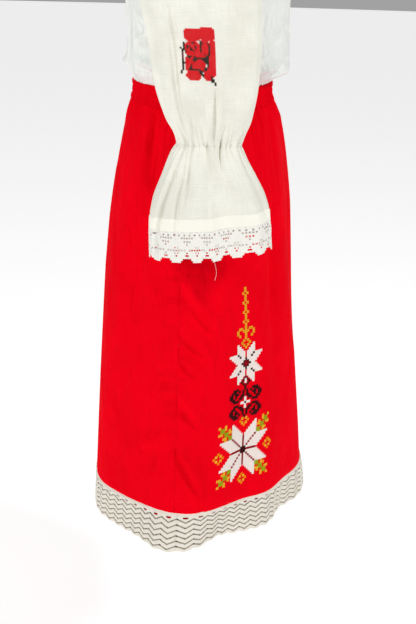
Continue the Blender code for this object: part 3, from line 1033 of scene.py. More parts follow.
@dataclass
class Bodice:
    """Front and back of the white blouse, whose lower edge falls over the waistband.

    Lengths are in metres. `slack` is how far the cloth bags just above the waist, about `slack_drop`
    and `slack_reach` up and down from there, and `slack_fall` how far it sinks.
    """

    wall: float = 0.0008
    seam_gap: float = 0.0003
    half_columns: int = 17
    neck_columns: int = 4
    shoulder_columns: int = 3
    points_to_a_column: int = 12
    flat_width: float = 0.62
    flat_length: float = 0.40
    flat_area: float = 0.17
    gather_rise: float = 0.0007
    slack: float = 0.0030
    slack_drop: float = 0.377
    slack_reach: float = 0.013
    slack_fall: float = 0.0025
    overlap: float = 0.003
    tuck_in: float = 0.0014
    folds: tuple[Fold | Crease, ...] = (
        Crease((60.0, 0.3920), (6.0, 0.3620), 0.0050, 0.0062),
        Crease((46.0, 0.3560), (10.0, 0.3180), 0.0060, 0.0040),
        Crease((58.0, 0.3720), (30.0, 0.3500), 0.0050, 0.0030),
        Crease((100.0, 0.3860), (142.0, 0.3720), 0.0060, 0.0046),
        Crease((112.0, 0.3300), (136.0, 0.3560), 0.0080, 0.0050),
        Crease((138.0, 0.3100), (110.0, 0.3440), 0.0090, 0.0046),
        Crease((-12.0, 0.3720), (-48.0, 0.3860), 0.0050, 0.0055),
        Crease((-58.0, 0.3880), (-96.0, 0.3780), 0.0050, 0.0050),
        Crease((-44.0, 0.3350), (-70.0, 0.3000), 0.0080, 0.0044),
        Crease((-112.0, 0.3700), (-150.0, 0.3860), 0.0055, 0.0054),
        Crease((-130.0, 0.3000), (-158.0, 0.3300), 0.0090, 0.0046),
        Crease((152.0, 0.3840), (186.0, 0.3730), 0.0055, 0.0050),
        Fold(62.0, 0.24, 0.41, 6.0, -0.0050, -6.0),
        Fold(30.0, 0.22, 0.41, 7.0, -0.0040, 4.0),
        Fold(2.0, 0.18, 0.40, 8.0, -0.0035, 2.0),
        Fold(-28.0, 0.24, 0.41, 6.0, -0.0045, -3.0),
        Fold(-60.0, 0.26, 0.41, 6.0, -0.0050, 5.0),
        Fold(118.0, 0.22, 0.41, 5.0, -0.0050, 5.0),
        Fold(130.0, 0.26, 0.41, 4.0, 0.0035, 3.0),
        Fold(150.0, 0.20, 0.41, 7.0, -0.0045, 0.0),
        Fold(178.0, 0.16, 0.40, 8.0, -0.0040, 2.0),
        Fold(-152.0, 0.20, 0.41, 7.0, -0.0045, -4.0),
        Fold(-122.0, 0.24, 0.41, 6.0, -0.0050, -4.0),
    )

    def top(self, share: Array, neck_drop: float) -> tuple[Array, Array]:
        """Place the top edge along neckline, shoulder and armhole.

        Args:
            share: Places from its middle (0) to the underarm (1).
            neck_drop: How low the neckline is at its middle.

        Returns:
            How far across and how high each one is.
        """
        column = share * self.half_columns
        angle = math.pi / 2.0 * np.clip(column / self.neck_columns, 0.0, 1.0)
        on_neck = column < self.neck_columns
        seam = np.clip((column - self.neck_columns) / self.shoulder_columns, 0.0, 1.0)
        seam_x = mix(FIGURE.neck_half, FIGURE.shoulder_half, seam)
        past = column - self.neck_columns - self.shoulder_columns
        rest = self.half_columns - self.neck_columns - self.shoulder_columns
        arm_x, arm_z = FIGURE.armhole(np.clip(past / rest, 0.0, 1.0))
        side_x = np.where(past < 0.0, seam_x, arm_x)
        side_z = np.where(past < 0.0, FIGURE.shoulder(seam_x), arm_z)
        x = np.where(on_neck, FIGURE.neck_half * np.sin(angle), side_x)
        return x, np.where(on_neck, -neck_drop * np.cos(angle), side_z)

    def surface(self, level: Level) -> Surface:
        """Give the outer face of the front or back.

        Args:
            level: Which one it is.

        Returns:
            The function that finds its points.
        """
        back = level is Level.BACK
        neck = FIGURE.neck_back if back else FIGURE.neck_front

        def place(u: Array, v: Array) -> Array:
            """Find points of the cloth.

            Args:
                u: Shares across it.
                v: Shares down it.

            Returns:
                One point for each place.
            """
            side = 2.0 * u - 1.0
            share = np.abs(side)
            x, top = self.top(share, neck)
            turn = mix(FIGURE.turn_at(x, top), 90.0 * share, smooth(np.minimum(v * 1.6, 1.0)))
            turn = np.copysign(turn, side)
            turn = 180.0 - turn if back else turn
            z = mix(top, -FIGURE.waist - self.overlap, v)
            near_waist = np.exp(-(((-z - self.slack_drop) / self.slack_reach) ** 2))
            bag = near_waist * wander(turn, 31, (5, 8, 13))
            gathers = self.gather_rise * wander(turn, 32, (31, 43, 57)) * smooth((v - 0.5) / 0.4)
            tucked = self.tuck_in * smooth((v - 0.985) / 0.015)
            folds = rise_of(self.folds, turn, -z) * smooth((1.0 - v) / 0.03)
            points = FIGURE.point(turn, z, gathers + self.slack * bag - tucked + folds)
            points[:, 2] -= self.slack_fall * bag
            points[:, 1] += self.seam_gap / 2.0 * (1.0 if back else -1.0)
            return points

        return place

    def build(self) -> None:
        """Make the front and the back."""
        for level in Level:
            columns = np.linspace(0.0, 1.0, self.half_columns * self.points_to_a_column + 1)
            rows = np.concatenate((np.linspace(0.0, 0.7, 34)[:-1], np.linspace(0.7, 1.0, 31)))
            cut = (self.flat_width, self.flat_length)
            turned = level is Level.FRONT
            piece = lay_cloth("blouse_" + level.value, self.surface(level), columns, rows, cut, turned)
            thicken(piece, self.wall)
            piece.data.materials.append(WARDROBE.get(BODICE_WHITE))
            settle(piece, BODICE_WHITE.slot, ("bodice_" + level.value,))


@dataclass
class Sleeve:
    """A long sleeve that an elastic gathers above a flounce, and its lace.

    Lengths are in metres, and drops are below the shoulder. The columns of `sections` are the drop, how
    far out and how far forward the sleeve's middle is, half its thickness and half its width there, and
    how far its front edge is lifted and both its edges curl up.
    """

    side: Side
    wall: float = 0.0008
    seam_gap: float = 0.0003
    flat_width: float = 0.36
    flat_length: float = 0.50
    flat_area: float = 0.15
    columns: int = 421
    cap_drop: float = 0.250
    cap_share: float = 0.3
    elastic: float = 0.4606
    short_gathers: float = 31.0
    short_rise: float = 0.0026
    long_gathers: float = 17.0
    long_rise: float = 0.0031
    pinch: float = 0.0012
    evenness: float = 0.35
    hem: float = 0.5625
    hem_depth: float = 0.0160
    hem_rise: float = 0.0005
    hem_dip: float = 0.0006
    hem_edge: float = 0.0012
    lace_wall: float = 0.0009
    lace_flat: float = 0.345
    lace_height: float = 0.039
    lace_tuck: float = 0.0025
    lace_tuck_in: float = 0.0014
    lace_loose: float = 0.0004
    tabs: int = 14
    tab_cells: int = 16
    lace_lines: int = 24
    open_lines: tuple[int, ...] = (2, 4, 7, 9, 11, 13, 15, 17)
    open_height: float = 1.7
    lace_squeeze: float = 0.14
    sections: Sections = field(
        default_factory=lambda: Sections(
            (0.250, 0.212, 0.010, 0.031, 0.0770, 0.000, 0.0000),
            (0.334, 0.208, 0.022, 0.029, 0.0695, 0.000, 0.0000),
            (0.388, 0.205, 0.025, 0.028, 0.0640, 0.000, 0.0000),
            (0.430, 0.201, 0.028, 0.022, 0.0530, 0.000, 0.0000),
            (0.446, 0.199, 0.029, 0.017, 0.0450, 0.000, 0.0000),
            (0.460, 0.198, 0.029, 0.014, 0.0405, 0.000, 0.0000),
            (0.469, 0.200, 0.028, 0.017, 0.0450, 0.001, 0.0000),
            (0.500, 0.208, 0.0315, 0.022, 0.0600, 0.003, 0.0010),
            (0.527, 0.214, 0.0335, 0.025, 0.0712, 0.006, 0.0025),
            (0.556, 0.217, 0.0355, 0.024, 0.0768, 0.009, 0.0045),
            (0.600, 0.220, 0.0375, 0.024, 0.0785, 0.010, 0.0060),
        )
    )
    folds: tuple[Fold | Crease, ...] = (
        Fold(-27.0, 0.285, 0.454, 2.6, -0.0044, -3.0),
        Fold(-33.5, 0.320, 0.456, 2.4, -0.0038, -2.0),
        Fold(-22.0, 0.290, 0.450, 3.2, 0.0026, -2.0),
        Fold(-50.0, 0.250, 0.440, 13.0, -0.0040),
        Fold(12.5, 0.382, 0.457, 2.2, -0.0042, -2.0),
        Fold(17.0, 0.382, 0.452, 3.4, 0.0026),
        Fold(35.0, 0.240, 0.440, 11.0, -0.0060, 4.0),
        Fold(62.0, 0.250, 0.450, 10.0, 0.0034),
        Fold(108.0, 0.240, 0.440, 12.0, -0.0044, 5.0),
        Fold(132.0, 0.280, 0.452, 5.0, -0.0032),
        Fold(158.0, 0.250, 0.450, 11.0, 0.0030),
        Fold(-172.0, 0.260, 0.440, 9.0, -0.0038, 6.0),
        Fold(-140.0, 0.300, 0.452, 5.0, -0.0030),
        Fold(-112.0, 0.240, 0.440, 12.0, -0.0040, -4.0),
        Fold(17.0, 0.464, 0.680, 13.0, -0.0075, 4.0),
        Fold(2.0, 0.464, 0.690, 4.0, 0.0032),
        Fold(-45.0, 0.462, 0.610, 3.6, -0.0062, -20.0),
        Fold(-54.0, 0.470, 0.620, 3.2, 0.0030, -18.0),
        Fold(-22.0, 0.462, 0.535, 2.4, -0.0036, -3.0),
        Fold(-31.0, 0.462, 0.580, 2.6, -0.0038, -3.0),
        Fold(44.0, 0.464, 0.640, 9.0, 0.0034, 6.0),
        Fold(64.0, 0.462, 0.600, 8.0, -0.0036, 10.0),
        Fold(100.0, 0.464, 0.680, 12.0, -0.0050),
        Fold(128.0, 0.464, 0.660, 10.0, 0.0036, 5.0),
        Fold(154.0, 0.462, 0.640, 8.0, -0.0044, 6.0),
        Fold(-170.0, 0.464, 0.680, 11.0, 0.0034),
        Fold(-132.0, 0.464, 0.680, 11.0, -0.0052, -5.0),
        Fold(-98.0, 0.462, 0.640, 9.0, 0.0034),
        Crease((-4.0, 0.5210), (-20.0, 0.5270), 0.0040, 0.0006),
        Crease((34.0, 0.5330), (46.0, 0.5300), 0.0040, 0.0009),
    )

    def ring(self, around: Array, drop: Array, out: Array = 0.0) -> Array:
        """Find points of the hanging sleeve.

        Args:
            around: Shares round it, from its outer side (0) over its front.
            drop: Places down it.
            out: How far they are moved out.

        Returns:
            One point for each place.
        """
        far, forward, thick, wide, lift, curl = self.sections.read(np.asarray(drop, dtype=float))
        even = math.tau * around
        angle = even - self.evenness / 2.0 * np.sin(2.0 * even)
        turn = np.degrees(angle)
        out = out + self.drawn(turn, drop) + rise_of(self.folds, turn, drop)
        in_hem = smooth((drop - self.hem + self.hem_depth) / self.hem_edge)
        line = np.exp(-(((drop - self.hem + self.hem_depth + 0.001) / self.hem_edge) ** 2))
        out = out + self.hem_rise * in_hem - self.hem_dip * line
        x = self.side.value * (far + (thick + out) * power(np.cos(angle), 0.85))
        ahead = power(np.sin(angle), 0.95)
        return points_of(x, -forward - (wide + out) * ahead, lift * ahead + curl * ahead**2 - drop)

    def drawn(self, turn: Array, drop: Array) -> Array:
        """Say how far the elastic's gathers stand out: short ones that run into longer, wider ones.

        Args:
            turn: Places round the sleeve, in degrees.
            drop: Places down it.

        Returns:
            The rise at each place.
        """
        off = np.asarray(drop, dtype=float) - self.elastic
        below = off > 0.0
        length = np.clip(1.0 + 0.7 * wander(turn, 21, (7, 13, 22)), 0.35, 2.2)
        short = np.exp(-((np.abs(off) / (np.where(below, 0.016, 0.011) * length)) ** 1.4))
        long = np.exp(-((np.abs(off) / (np.where(below, 0.038, 0.022) * length)) ** 1.6))
        shift = 2.0 * wander(turn, 22, (3, 7)) + 0.7 * wander(turn + 1200.0 * off, 23, (4, 9))
        fine = self.pleat(self.short_gathers * turn, shift)
        wide = self.pleat(self.long_gathers * turn, 1.7 * wander(turn + 500.0 * off, 24, (3, 8)))
        height = np.clip(0.9 + 0.6 * wander(turn, 25, (6, 11, 17)), 0.25, 1.7)
        pinch = -self.pinch * np.exp(-((off / 0.0026) ** 2))
        return height * (self.short_rise * fine * short + self.long_rise * wide * long) + pinch

    @staticmethod
    def pleat(turn: Array, shift: Array) -> Array:
        """Give broad ridges with narrow creases between them."""
        return 0.35 - np.exp(-((np.sin((np.radians(turn) + shift) / 2.0) / 0.38) ** 2))

    def armhole(self, around: Array) -> Array:
        """Find the top edge, one seam gap off the bodice.

        Args:
            around: Shares round the armhole, from the shoulder (0) over its front.

        Returns:
            One point for each place.
        """
        front = around <= 0.5
        share = np.clip(np.where(front, around * 2.0, 2.0 - around * 2.0), 0.0, 1.0)

        def corner(place: Array) -> Array:
            """Find points of the bodice's edge.

            Args:
                place: Places from the shoulder (0) to the underarm (1).

            Returns:
                One point for each place.
            """
            x, z = FIGURE.armhole(np.clip(place, 0.0, 1.0))
            turn = FIGURE.turn_at(x, z)
            return FIGURE.point(-self.side.value * np.where(front, turn, 180.0 - turn), z)

        x, z = FIGURE.armhole(share)
        turn = FIGURE.turn_at(x, z)
        out = FIGURE.out_of(-self.side.value * np.where(front, turn, 180.0 - turn), z)
        off = unit(np.cross(corner(share + 0.02) - corner(share - 0.02), out))
        wrong = off[:, 0] * self.side.value + off[:, 2] * 0.5 < 0.0
        off[wrong] *= -1.0
        return corner(share) + off * self.seam_gap

    def surface(self, u: Array, v: Array) -> Array:
        """Find points of the whole sleeve.

        Args:
            u: Shares round it.
            v: Shares down it, from the armhole (0) to the hem (1).

        Returns:
            One point for each place.
        """
        down = (v - self.cap_share) / (1.0 - self.cap_share)
        below = self.ring(u, mix(self.cap_drop, self.hem, down))
        start = self.armhole(u)
        end = self.ring(u, np.full_like(u, self.cap_drop))
        t = np.clip(v / self.cap_share, 0.0, 1.0)[:, None]
        bend_y = mix(start[:, 1], end[:, 1], 0.4)
        bend = points_of(end[:, 0], bend_y, mix(start[:, 2], end[:, 2], 0.22))
        cap = start * (1.0 - t) ** 2 + bend * 2.0 * t * (1.0 - t) + end * t**2
        return np.where((v >= self.cap_share)[:, None], below, cap)

    def build(self) -> None:
        """Make the sleeve and its lace."""
        name = self.side.name.lower()
        columns = np.linspace(0.0, 1.0, self.columns)
        seam = 1.0 - (1.0 - self.cap_share) * self.hem_depth / (self.hem - self.cap_drop)
        cap = np.linspace(0.0, 0.6, 28)[:-1]
        arm = np.linspace(0.6, seam - 0.009, 46)
        beside_seam = seam + np.array([-0.006, -0.004, -0.002, 0.0, 0.002, 0.005])
        rows = np.concatenate((cap, arm, beside_seam, np.linspace(seam + 0.012, 1.0, 7)))
        turned = self.side is Side.LEFT
        cut = (self.flat_width, self.flat_length)
        piece = lay_cloth("sleeve_cloth_" + name, self.surface, columns, rows, cut, turned, closed=True)
        thicken(piece, self.wall)
        piece.data.materials.append(WARDROBE.get(SLEEVE_WHITE))
        settle(piece, SLEEVE_WHITE.slot, ("sleeve_" + name,))
        self.build_lace(name, turned)

    def build_lace(self, name: str, turned: bool) -> None:
        """Make the lace, charted cell by cell, with tabs along its lower edge.

        Args:
            name: The sleeve's side, for the piece's name.
            turned: Whether the grid's faces have to be turned over to point out.
        """
        cells = self.tab_cells
        lines = [self.open_height if j in self.open_lines else 1.0 for j in range(self.lace_lines)]
        heights = np.cumsum([0.0] + lines)

        def surface(u: Array, v: Array) -> Array:
            """Find points of the lace.

            Args:
                u: Shares round it.
                v: Shares down it.

            Returns:
                One point for each place.
            """
            behind = 1.0 - smooth(v * 20.0)
            up = self.lace_tuck * (1.0 - np.minimum(v * 20.0, 1.0))
            loose = self.lace_loose * wander(360.0 * u + 90.0 * v, 41, (37, 59, 83))
            drop = self.hem + self.lace_height * v - up
            return self.ring(u, drop, loose - self.lace_tuck_in * behind)

        def hole(i: Array, j: Array) -> Array:
            """Chart the holes: eyelets, a triangle between tabs, a lozenge on each tab, and the valleys.

            Args:
                i: Each cell's column.
                j: Its row.

            Returns:
                Whether the cell is left out.
            """
            column = (i + 2) % cells
            near_edge = np.minimum(column, cells - column)
            near_tab = np.abs(column - cells // 2)
            eyelets = (j == 2) & (column % 4 == 2)
            down = (j == 4) & ((near_edge == 0) | (near_edge == 2) | (near_edge == 4))
            down |= (j == 7) & ((near_edge == 0) | (near_edge == 2))
            down |= (j == 9) & (near_edge == 0)
            up = (j == 11) & (near_tab == 1)
            up |= (j == 13) & (near_tab % 2 == 0) & (near_tab <= 6)
            up |= (j == 15) & (near_tab == 1)
            up |= (j == 17) & (near_tab == 0)
            slit = ((j == 17) & (near_edge <= 1)) | ((j == 15) & (near_edge == 0))
            valley = (j >= 20) & (near_tab >= 4 + (23 - j) // 2)
            return eyelets | down | up | slit | valley

        steps = np.arange(self.tabs * cells + 1)
        inside = steps % steps[-1] != 0
        shift = np.where(steps % 2 == 0, self.lace_squeeze, -self.lace_squeeze) * inside
        columns = (steps - shift) / steps[-1]
        cut = (self.lace_flat, self.lace_height)
        rows = heights / heights[-1]
        piece = lay_cloth("cuff_lace_" + name, surface, columns, rows, cut, turned, True, hole)
        thicken(piece, self.lace_wall)
        piece.data.materials.append(WARDROBE.get(BOBBIN))
        settle(piece, BOBBIN.slot, ("sleeve_lace_" + name,))


class Pattern:
    """Counted stitches: which thread is at each place across (towards the front) and up."""

    def __init__(self) -> None:
        """Start with no stitches."""
        self.cells: dict[tuple[int, int], CottonThread] = {}

    def put(
        self,
        places: Iterable[tuple[int, int]],
        thread: CottonThread,
        centre: tuple[int, int] = (0, 0),
        both_ways: bool = True,
    ) -> None:
        """Add stitches, mirrored across a centre.

        Args:
            places: Places from the centre, for one quarter or half.
            thread: The thread they are sewn with.
            centre: The middle that they are mirrored about.
            both_ways: Whether they are mirrored up and down as well.
        """
        for x, y in places:
            for across in (1, -1):
                for up in (1, -1) if both_ways else (1,):
                    self.cells[(centre[0] + across * x, centre[1] + up * y)] = thread


def star_quarter(reach: int) -> list[tuple[int, int]]:
    """List the two petals of a quarter of an eight-pointed star."""
    petal = [(x, y) for x in range(1, reach + 1) for y in range(x + 1, x + reach + 1)]
    return petal + [(y, x) for x, y in petal]


def diamond(reach: int) -> list[tuple[int, int]]:
    """List a quarter of the outline of a diamond."""
    return [(x, reach - x) for x in range(reach + 1)]


def skirt_pattern() -> Pattern:
    """Chart the skirt's motif upwards from its big star: stars, scrolls, rings, sprigs and a chain.

    Returns:
        The counted stitches, from the middle of the big star.
    """
    made = Pattern()
    made.put(star_quarter(6), WHITE_FLOSS)
    made.put([(k, 0) for k in range(2, 7)] + [(0, k) for k in range(2, 7)], WINE_FLOSS)
    made.put([(k, k) for k in range(2, 7)], WINE_FLOSS)
    made.put([(0, 0), (1, 0), (0, 1), (1, 1)], DARK_FLOSS)
    for centre in ((0, 13), (0, -13), (13, 0), (-13, 0)):
        made.put(diamond(2), YELLOW_FLOSS, centre)
        made.put([(0, 2), (2, 0)], ORANGE_FLOSS, centre)
    sprig = [(k, k) for k in range(7, 13)] + [(8, 7), (7, 8), (10, 9), (9, 10), (12, 11), (11, 12)]
    made.put(sprig, GREEN_FLOSS)
    for k in (8, 10):
        made.put([(k + 2, k), (k + 3, k), (k, k + 2), (k, k + 3)], YELLOW_FLOSS)
    made.put([(10, 7), (7, 10), (13, 13)], YELLOW_FLOSS)
    scrolls = (0, 21)
    ring = (0, 30)
    small = (0, 38)
    scroll = [(0, 6), (1, 5), (1, 4), (1, 3), (2, 3), (2, 2), (3, 2), (4, 1), (5, 1), (6, 1), (7, 2)]
    scroll += [(6, 2), (8, 3), (7, 3), (8, 4), (7, 4), (7, 5), (6, 5), (6, 6), (5, 6), (4, 6), (5, 5)]
    scroll += [(3, 5), (4, 4), (5, 4), (5, 3)]
    made.put(scroll, DARK_FLOSS, scrolls)
    made.put([(1, 0), (2, 0), (0, 1), (0, 2)], WHITE_FLOSS, scrolls)
    made.put([(0, 0)], DARK_FLOSS, scrolls)
    made.put(diamond(2) + [(1, 1)], DARK_FLOSS, ring)
    made.put([(0, 0), (0, 1)], WHITE_FLOSS, ring, both_ways=False)
    made.put(star_quarter(4) + [(2, 2)], WHITE_FLOSS, small)
    made.put([(3, 3), (4, 4)], DARK_FLOSS, small)
    made.put([(3, 0), (4, 0)], WHITE_FLOSS, small)
    made.put(diamond(2) + [(1, 1)], DARK_FLOSS, small)
    made.put([(0, 0), (1, 0), (0, 1)], WINE_FLOSS, small)
    made.put(diamond(2), GOLD_FLOSS, (0, 47))
    hook = [(1, 14), (2, 15), (3, 15), (4, 14), (4, 13), (3, 12)]
    eyes = (18, 22, 26, 30)
    chain = [(0, y) for y in range(12, 33) if y not in eyes] + [(1, y) for y in eyes]
    made.put(hook + chain, GOLD_FLOSS, small, both_ways=False)
    return made


def rose_pattern() -> Pattern:
    """Chart a rose of round petals: each one is outlined where it lies over another.

    Returns:
        The counted stitches, from the middle of its lower petals.
    """
    made = Pattern()
    roundness = 2.6
    # Each petal's middle, across and up, and half its width and height.
    petals = (
        (-4.5, 19.0, 5.0, 4.0),
        (4.2, 19.5, 5.0, 4.4),
        (-4.9, 10.4, 4.7, 5.2),
        (2.6, 11.0, 2.7, 5.4),
        (7.0, 10.6, 2.4, 5.6),
        (-0.8, 7.2, 3.6, 2.4),
        (-6.8, 1.6, 3.0, 5.0),
        (6.4, 0.2, 2.7, 6.6),
        (-1.2, 0.4, 4.0, 3.7),
        (-4.9, -5.5, 4.2, 3.1),
        (3.7, -4.8, 2.6, 3.6),
    )
    for across, up, wide, high in petals:
        for x in range(-9, 9):
            for y in range(-10, 24):
                if abs((x - across) / wide) ** roundness + abs((y - up) / high) ** roundness <= 1.0:
                    made.cells[(x, y)] = ROSE_FLOSS
    dark = [(-8, 6), (-7, 6), (-6, 6), (-7, 5), (-4, 6), (-4, 5), (-3, 5), (-2, 5), (-1, 5), (0, 5)]
    dark += [(1, 5), (2, 5), (-5, 4), (-4, 4), (-3, 4), (-4, 3), (1, 4), (2, 4), (3, 4), (4, 4), (2, 3)]
    dark += [(3, 3), (4, 3), (3, 5), (4, 5), (3, 2), (4, 2), (4, 1), (4, 0), (3, -1), (2, -1), (2, -2)]
    dark += [(1, -3), (0, -3), (-1, -3), (-1, -2), (3, -2)]
    dark += [(0, y) for y in range(9, 16)] + [(1, 14), (5, 7), (4, 7), (2, 7), (3, 6), (4, 6)]
    dark += [(5, y) for y in range(8, 14)] + [(4, 14), (-5, 14), (-4, 14), (-3, 12), (-3, 11)]
    dark += [(-8, 12), (-7, 12), (-8, 11), (-6, 11), (-6, 10), (-5, 10), (-4, 9), (-6, 1), (-6, 0)]
    dark += [(-6, -1), (-7, -1), (-7, -2), (-6, -2), (-5, -2), (-4, -2), (-3, -2), (-2, -2), (0, -4)]
    dark += [(-1, -4), (0, -5), (1, -5), (1, -6), (6, -6), (6, -7), (6, -8), (7, -8), (6, -9), (7, -9)]
    dark += [(8, -10), (8, -11), (-9, 9), (-10, 10)]
    dark += [(-10, y) for y in range(11, 15)] + [(-12, 11), (-11, 10), (-11, 9), (-10, 2)]
    dark += [(-12, -3), (-12, -4)] + [(-11, y) for y in range(-2, 5)]
    for place in dark:
        made.cells[place] = LEAF_FLOSS
    for y in range(5, 9):
        made.cells[(-11, y)] = PLUM_FLOSS
    return made


@dataclass(frozen=True)
class Needle:
    """Sews counted cross-stitch: two raised threads for each stitch, the second over the first.

    All but `pitch`, the side of a stitch, are shares of a stitch: half a thread's length and width, how
    high the lower thread and the crossing of the upper one stand, and how far the whole is lifted.
    """

    pitch: float
    reach: float = 0.70
    thread: float = 0.26
    under: float = 0.16
    over: float = 0.10
    lift: float = 0.10

    def cross(self) -> bpy.types.Mesh:
        """Make one stitch on a square of side 1 about the origin.

        Returns:
            Its mesh.
        """
        bm = bmesh.new()
        for upper, angle in enumerate((math.pi / 4.0, -math.pi / 4.0)):
            made = bmesh.ops.create_grid(bm, x_segments=2, y_segments=2, size=1.0)["verts"]
            for vert in made:
                along, across = vert.co.x, vert.co.y
                arch = self.under + self.over * upper * (1.0 - along * along)
                height = arch * (1.0 - across * across) * (1.0 - 0.5 * along * along)
                vert.co = (self.reach * along, self.thread * across, height)
            turn = Matrix.Rotation(angle, 3, "Z")
            bmesh.ops.rotate(bm, verts=made, cent=(0.0, 0.0, 0.0), matrix=turn)
        mesh = bpy.data.meshes.new("cross")
        bm.to_mesh(mesh)
        bm.free()
        mesh.shade_smooth()
        return mesh

    def sew(self, name: str, pattern: Pattern, place: Surface, side: Side, slot: str) -> None:
        """Sew a pattern onto cloth as one piece.

        Args:
            name: The piece's name.
            pattern: Its stitches.
            place: Points of the cloth for places in the pattern.
            side: The side of the wearer it is on; the pattern is mirrored on the left one.
            slot: The record's material slot of the cloth.
        """
        cells = np.array(list(pattern.cells), dtype=float)
        low = place(cells[:, 0] - 0.5, cells[:, 1] - 0.5)
        along = place(cells[:, 0] + 0.5, cells[:, 1] - 0.5) - low
        up = place(cells[:, 0] - 0.5, cells[:, 1] + 0.5) - low
        out = unit(np.cross(along, up)) * self.pitch * (1.0 if side is Side.RIGHT else -1.0)
        middle = low + (along + up) / 2.0 + out * self.lift
        frames = np.zeros((len(cells), 4, 4))
        for column, vectors in enumerate((along, up, out, middle)):
            frames[:, :3, column] = vectors
        frames[:, 3, 3] = 1.0
        threads = list(dict.fromkeys(pattern.cells.values()))
        cross = self.cross()
        bm = bmesh.new()
        for frame_rows, thread in zip(frames, pattern.cells.values()):
            stitch = cross.copy()
            stitch.transform(Matrix(frame_rows.tolist()))
            numbers = [threads.index(thread)] * len(stitch.polygons)
            stitch.polygons.foreach_set("material_index", numbers)
            bm.from_mesh(stitch)
            bpy.data.meshes.remove(stitch)
        bpy.data.meshes.remove(cross)
        if side is Side.LEFT:
            bmesh.ops.reverse_faces(bm, faces=bm.faces)
        mesh = bpy.data.meshes.new(name)
        bm.to_mesh(mesh)
        bm.free()
        for thread in threads:
            mesh.materials.append(WARDROBE.get(thread))
        piece = bpy.data.objects.new(name, mesh)
        bpy.context.scene.collection.objects.link(piece)
        settle(piece, slot)


@dataclass
class Embroidery:
    """The motifs on the skirt and the roses on the sleeves, mirrored on the wearer's left side.

    Lengths are in metres. `big_star` is the drop of the lower star's middle, and `axis` the turn of the
    motif's middle line at each drop. `rose` is the share round the sleeve and the drop of its middle.
    """

    skirt: Skirt
    stitch: float = 0.00346
    fine_stitch: float = 0.0020
    fine_rise: float = 0.0019
    big_star: float = 0.9037
    rose: tuple[float, float] = (-0.0069, 0.3631)
    axis: tuple[tuple[float, float], ...] = (
        (0.6600, 57.4),
        (0.7000, 56.2),
        (0.7436, 55.4),
        (0.7722, 55.1),
        (0.8300, 55.5),
        (0.9037, 57.4),
        (0.9600, 58.5),
    )

    def on_skirt(self, side: Side) -> Surface:
        """Give the skirt's points for places in its pattern.

        Args:
            side: The side of the wearer that the motif is on.

        Returns:
            The function that finds them.
        """
        drops, turns = np.array(self.axis).T

        def place(x: Array, y: Array) -> Array:
            """Find points of the skirt.

            Args:
                x: Stitches from the motif's middle line towards the front.
                y: Stitches up from the big star's middle.

            Returns:
                One point for each place.
            """
            drop = self.big_star - self.stitch * y
            turn = np.empty_like(drop)
            for level in np.unique(drop):
                here = drop == level
                start = float(np.interp(level, drops, turns))
                turn[here] = FIGURE.skirt_turn(level, start, self.stitch * x[here])
            return self.skirt.place(-side.value * turn, drop)

        return place

    def on_sleeve(self, sleeve: Sleeve) -> Surface:
        """Give the sleeve's points for places in its pattern.

        Args:
            sleeve: The sleeve that the rose is on.

        Returns:
            The function that finds them.
        """

        def place(x: Array, y: Array) -> Array:
            """Find points of the sleeve.

            Args:
                x: Stitches from the rose's middle towards the front.
                y: Stitches up from its middle.

            Returns:
                One point for each place.
            """
            drop = self.rose[1] - self.fine_rise * y
            around = np.empty_like(drop)
            span = np.linspace(-0.2, 0.2, 321)
            for level in np.unique(drop):
                line = sleeve.ring(span, np.full_like(span, level))
                length = run_along(line)
                middle = np.interp(self.rose[0], span, length)
                here = drop == level
                around[here] = np.interp(middle + self.fine_stitch * x[here], length, span)
            return sleeve.ring(around, drop)

        return place

    def build(self) -> None:
        """Sew every motif."""
        for side in Side:
            name = side.name.lower()
            skirt, sleeve = self.on_skirt(side), self.on_sleeve(Sleeve(side))
            Needle(self.stitch).sew("skirt_motif_" + name, skirt_pattern(), skirt, side, RED.slot)
            fine = Needle(self.fine_stitch)
            fine.sew("rose_motif_" + name, rose_pattern(), sleeve, side, SLEEVE_WHITE.slot)


@dataclass(frozen=True)
class LooseThread:
    """A white thread end that hangs from the lace of the wearer's right sleeve."""

    radius: float = 0.00016
    length: float = 0.027
    around: float = 0.016
    caught: float = 0.002
    sway: float = 0.0035
    outward: float = 0.004

    def build(self) -> None:
        """Make the thread as a thin tube."""
        sleeve = Sleeve(Side.RIGHT)
        drop = sleeve.hem + sleeve.lace_height - self.caught
        start = sleeve.ring(np.array([self.around]), np.array([drop]))[0]

        def surface(u: Array, v: Array) -> Array:
            """Find points of the thread.

            Args:
                u: Shares round it.
                v: Shares down it.

            Returns:
                One point for each place.
            """
            angle = math.tau * u
            sway = self.sway * np.sin(2.6 * v)
            x = start[0] + self.outward * v + self.radius * np.cos(angle)
            y = start[1] - sway - self.radius * np.sin(angle)
            return points_of(x, y, start[2] - self.length * v)

        columns = np.linspace(0.0, 1.0, 7)
        rows = np.linspace(0.0, 1.0, 15)
        cut = (math.tau * self.radius, self.length)
        piece = lay_cloth("loose_thread", surface, columns, rows, cut, True, True)
        piece.data.materials.append(WARDROBE.get(BOBBIN))
        settle(piece, BOBBIN.slot)


@dataclass(frozen=True)
class Lamp:
    """A round lamp that points at the dress; metres and watts."""

    name: str
    place: tuple[float, float, float]
    size: float
    watts: float


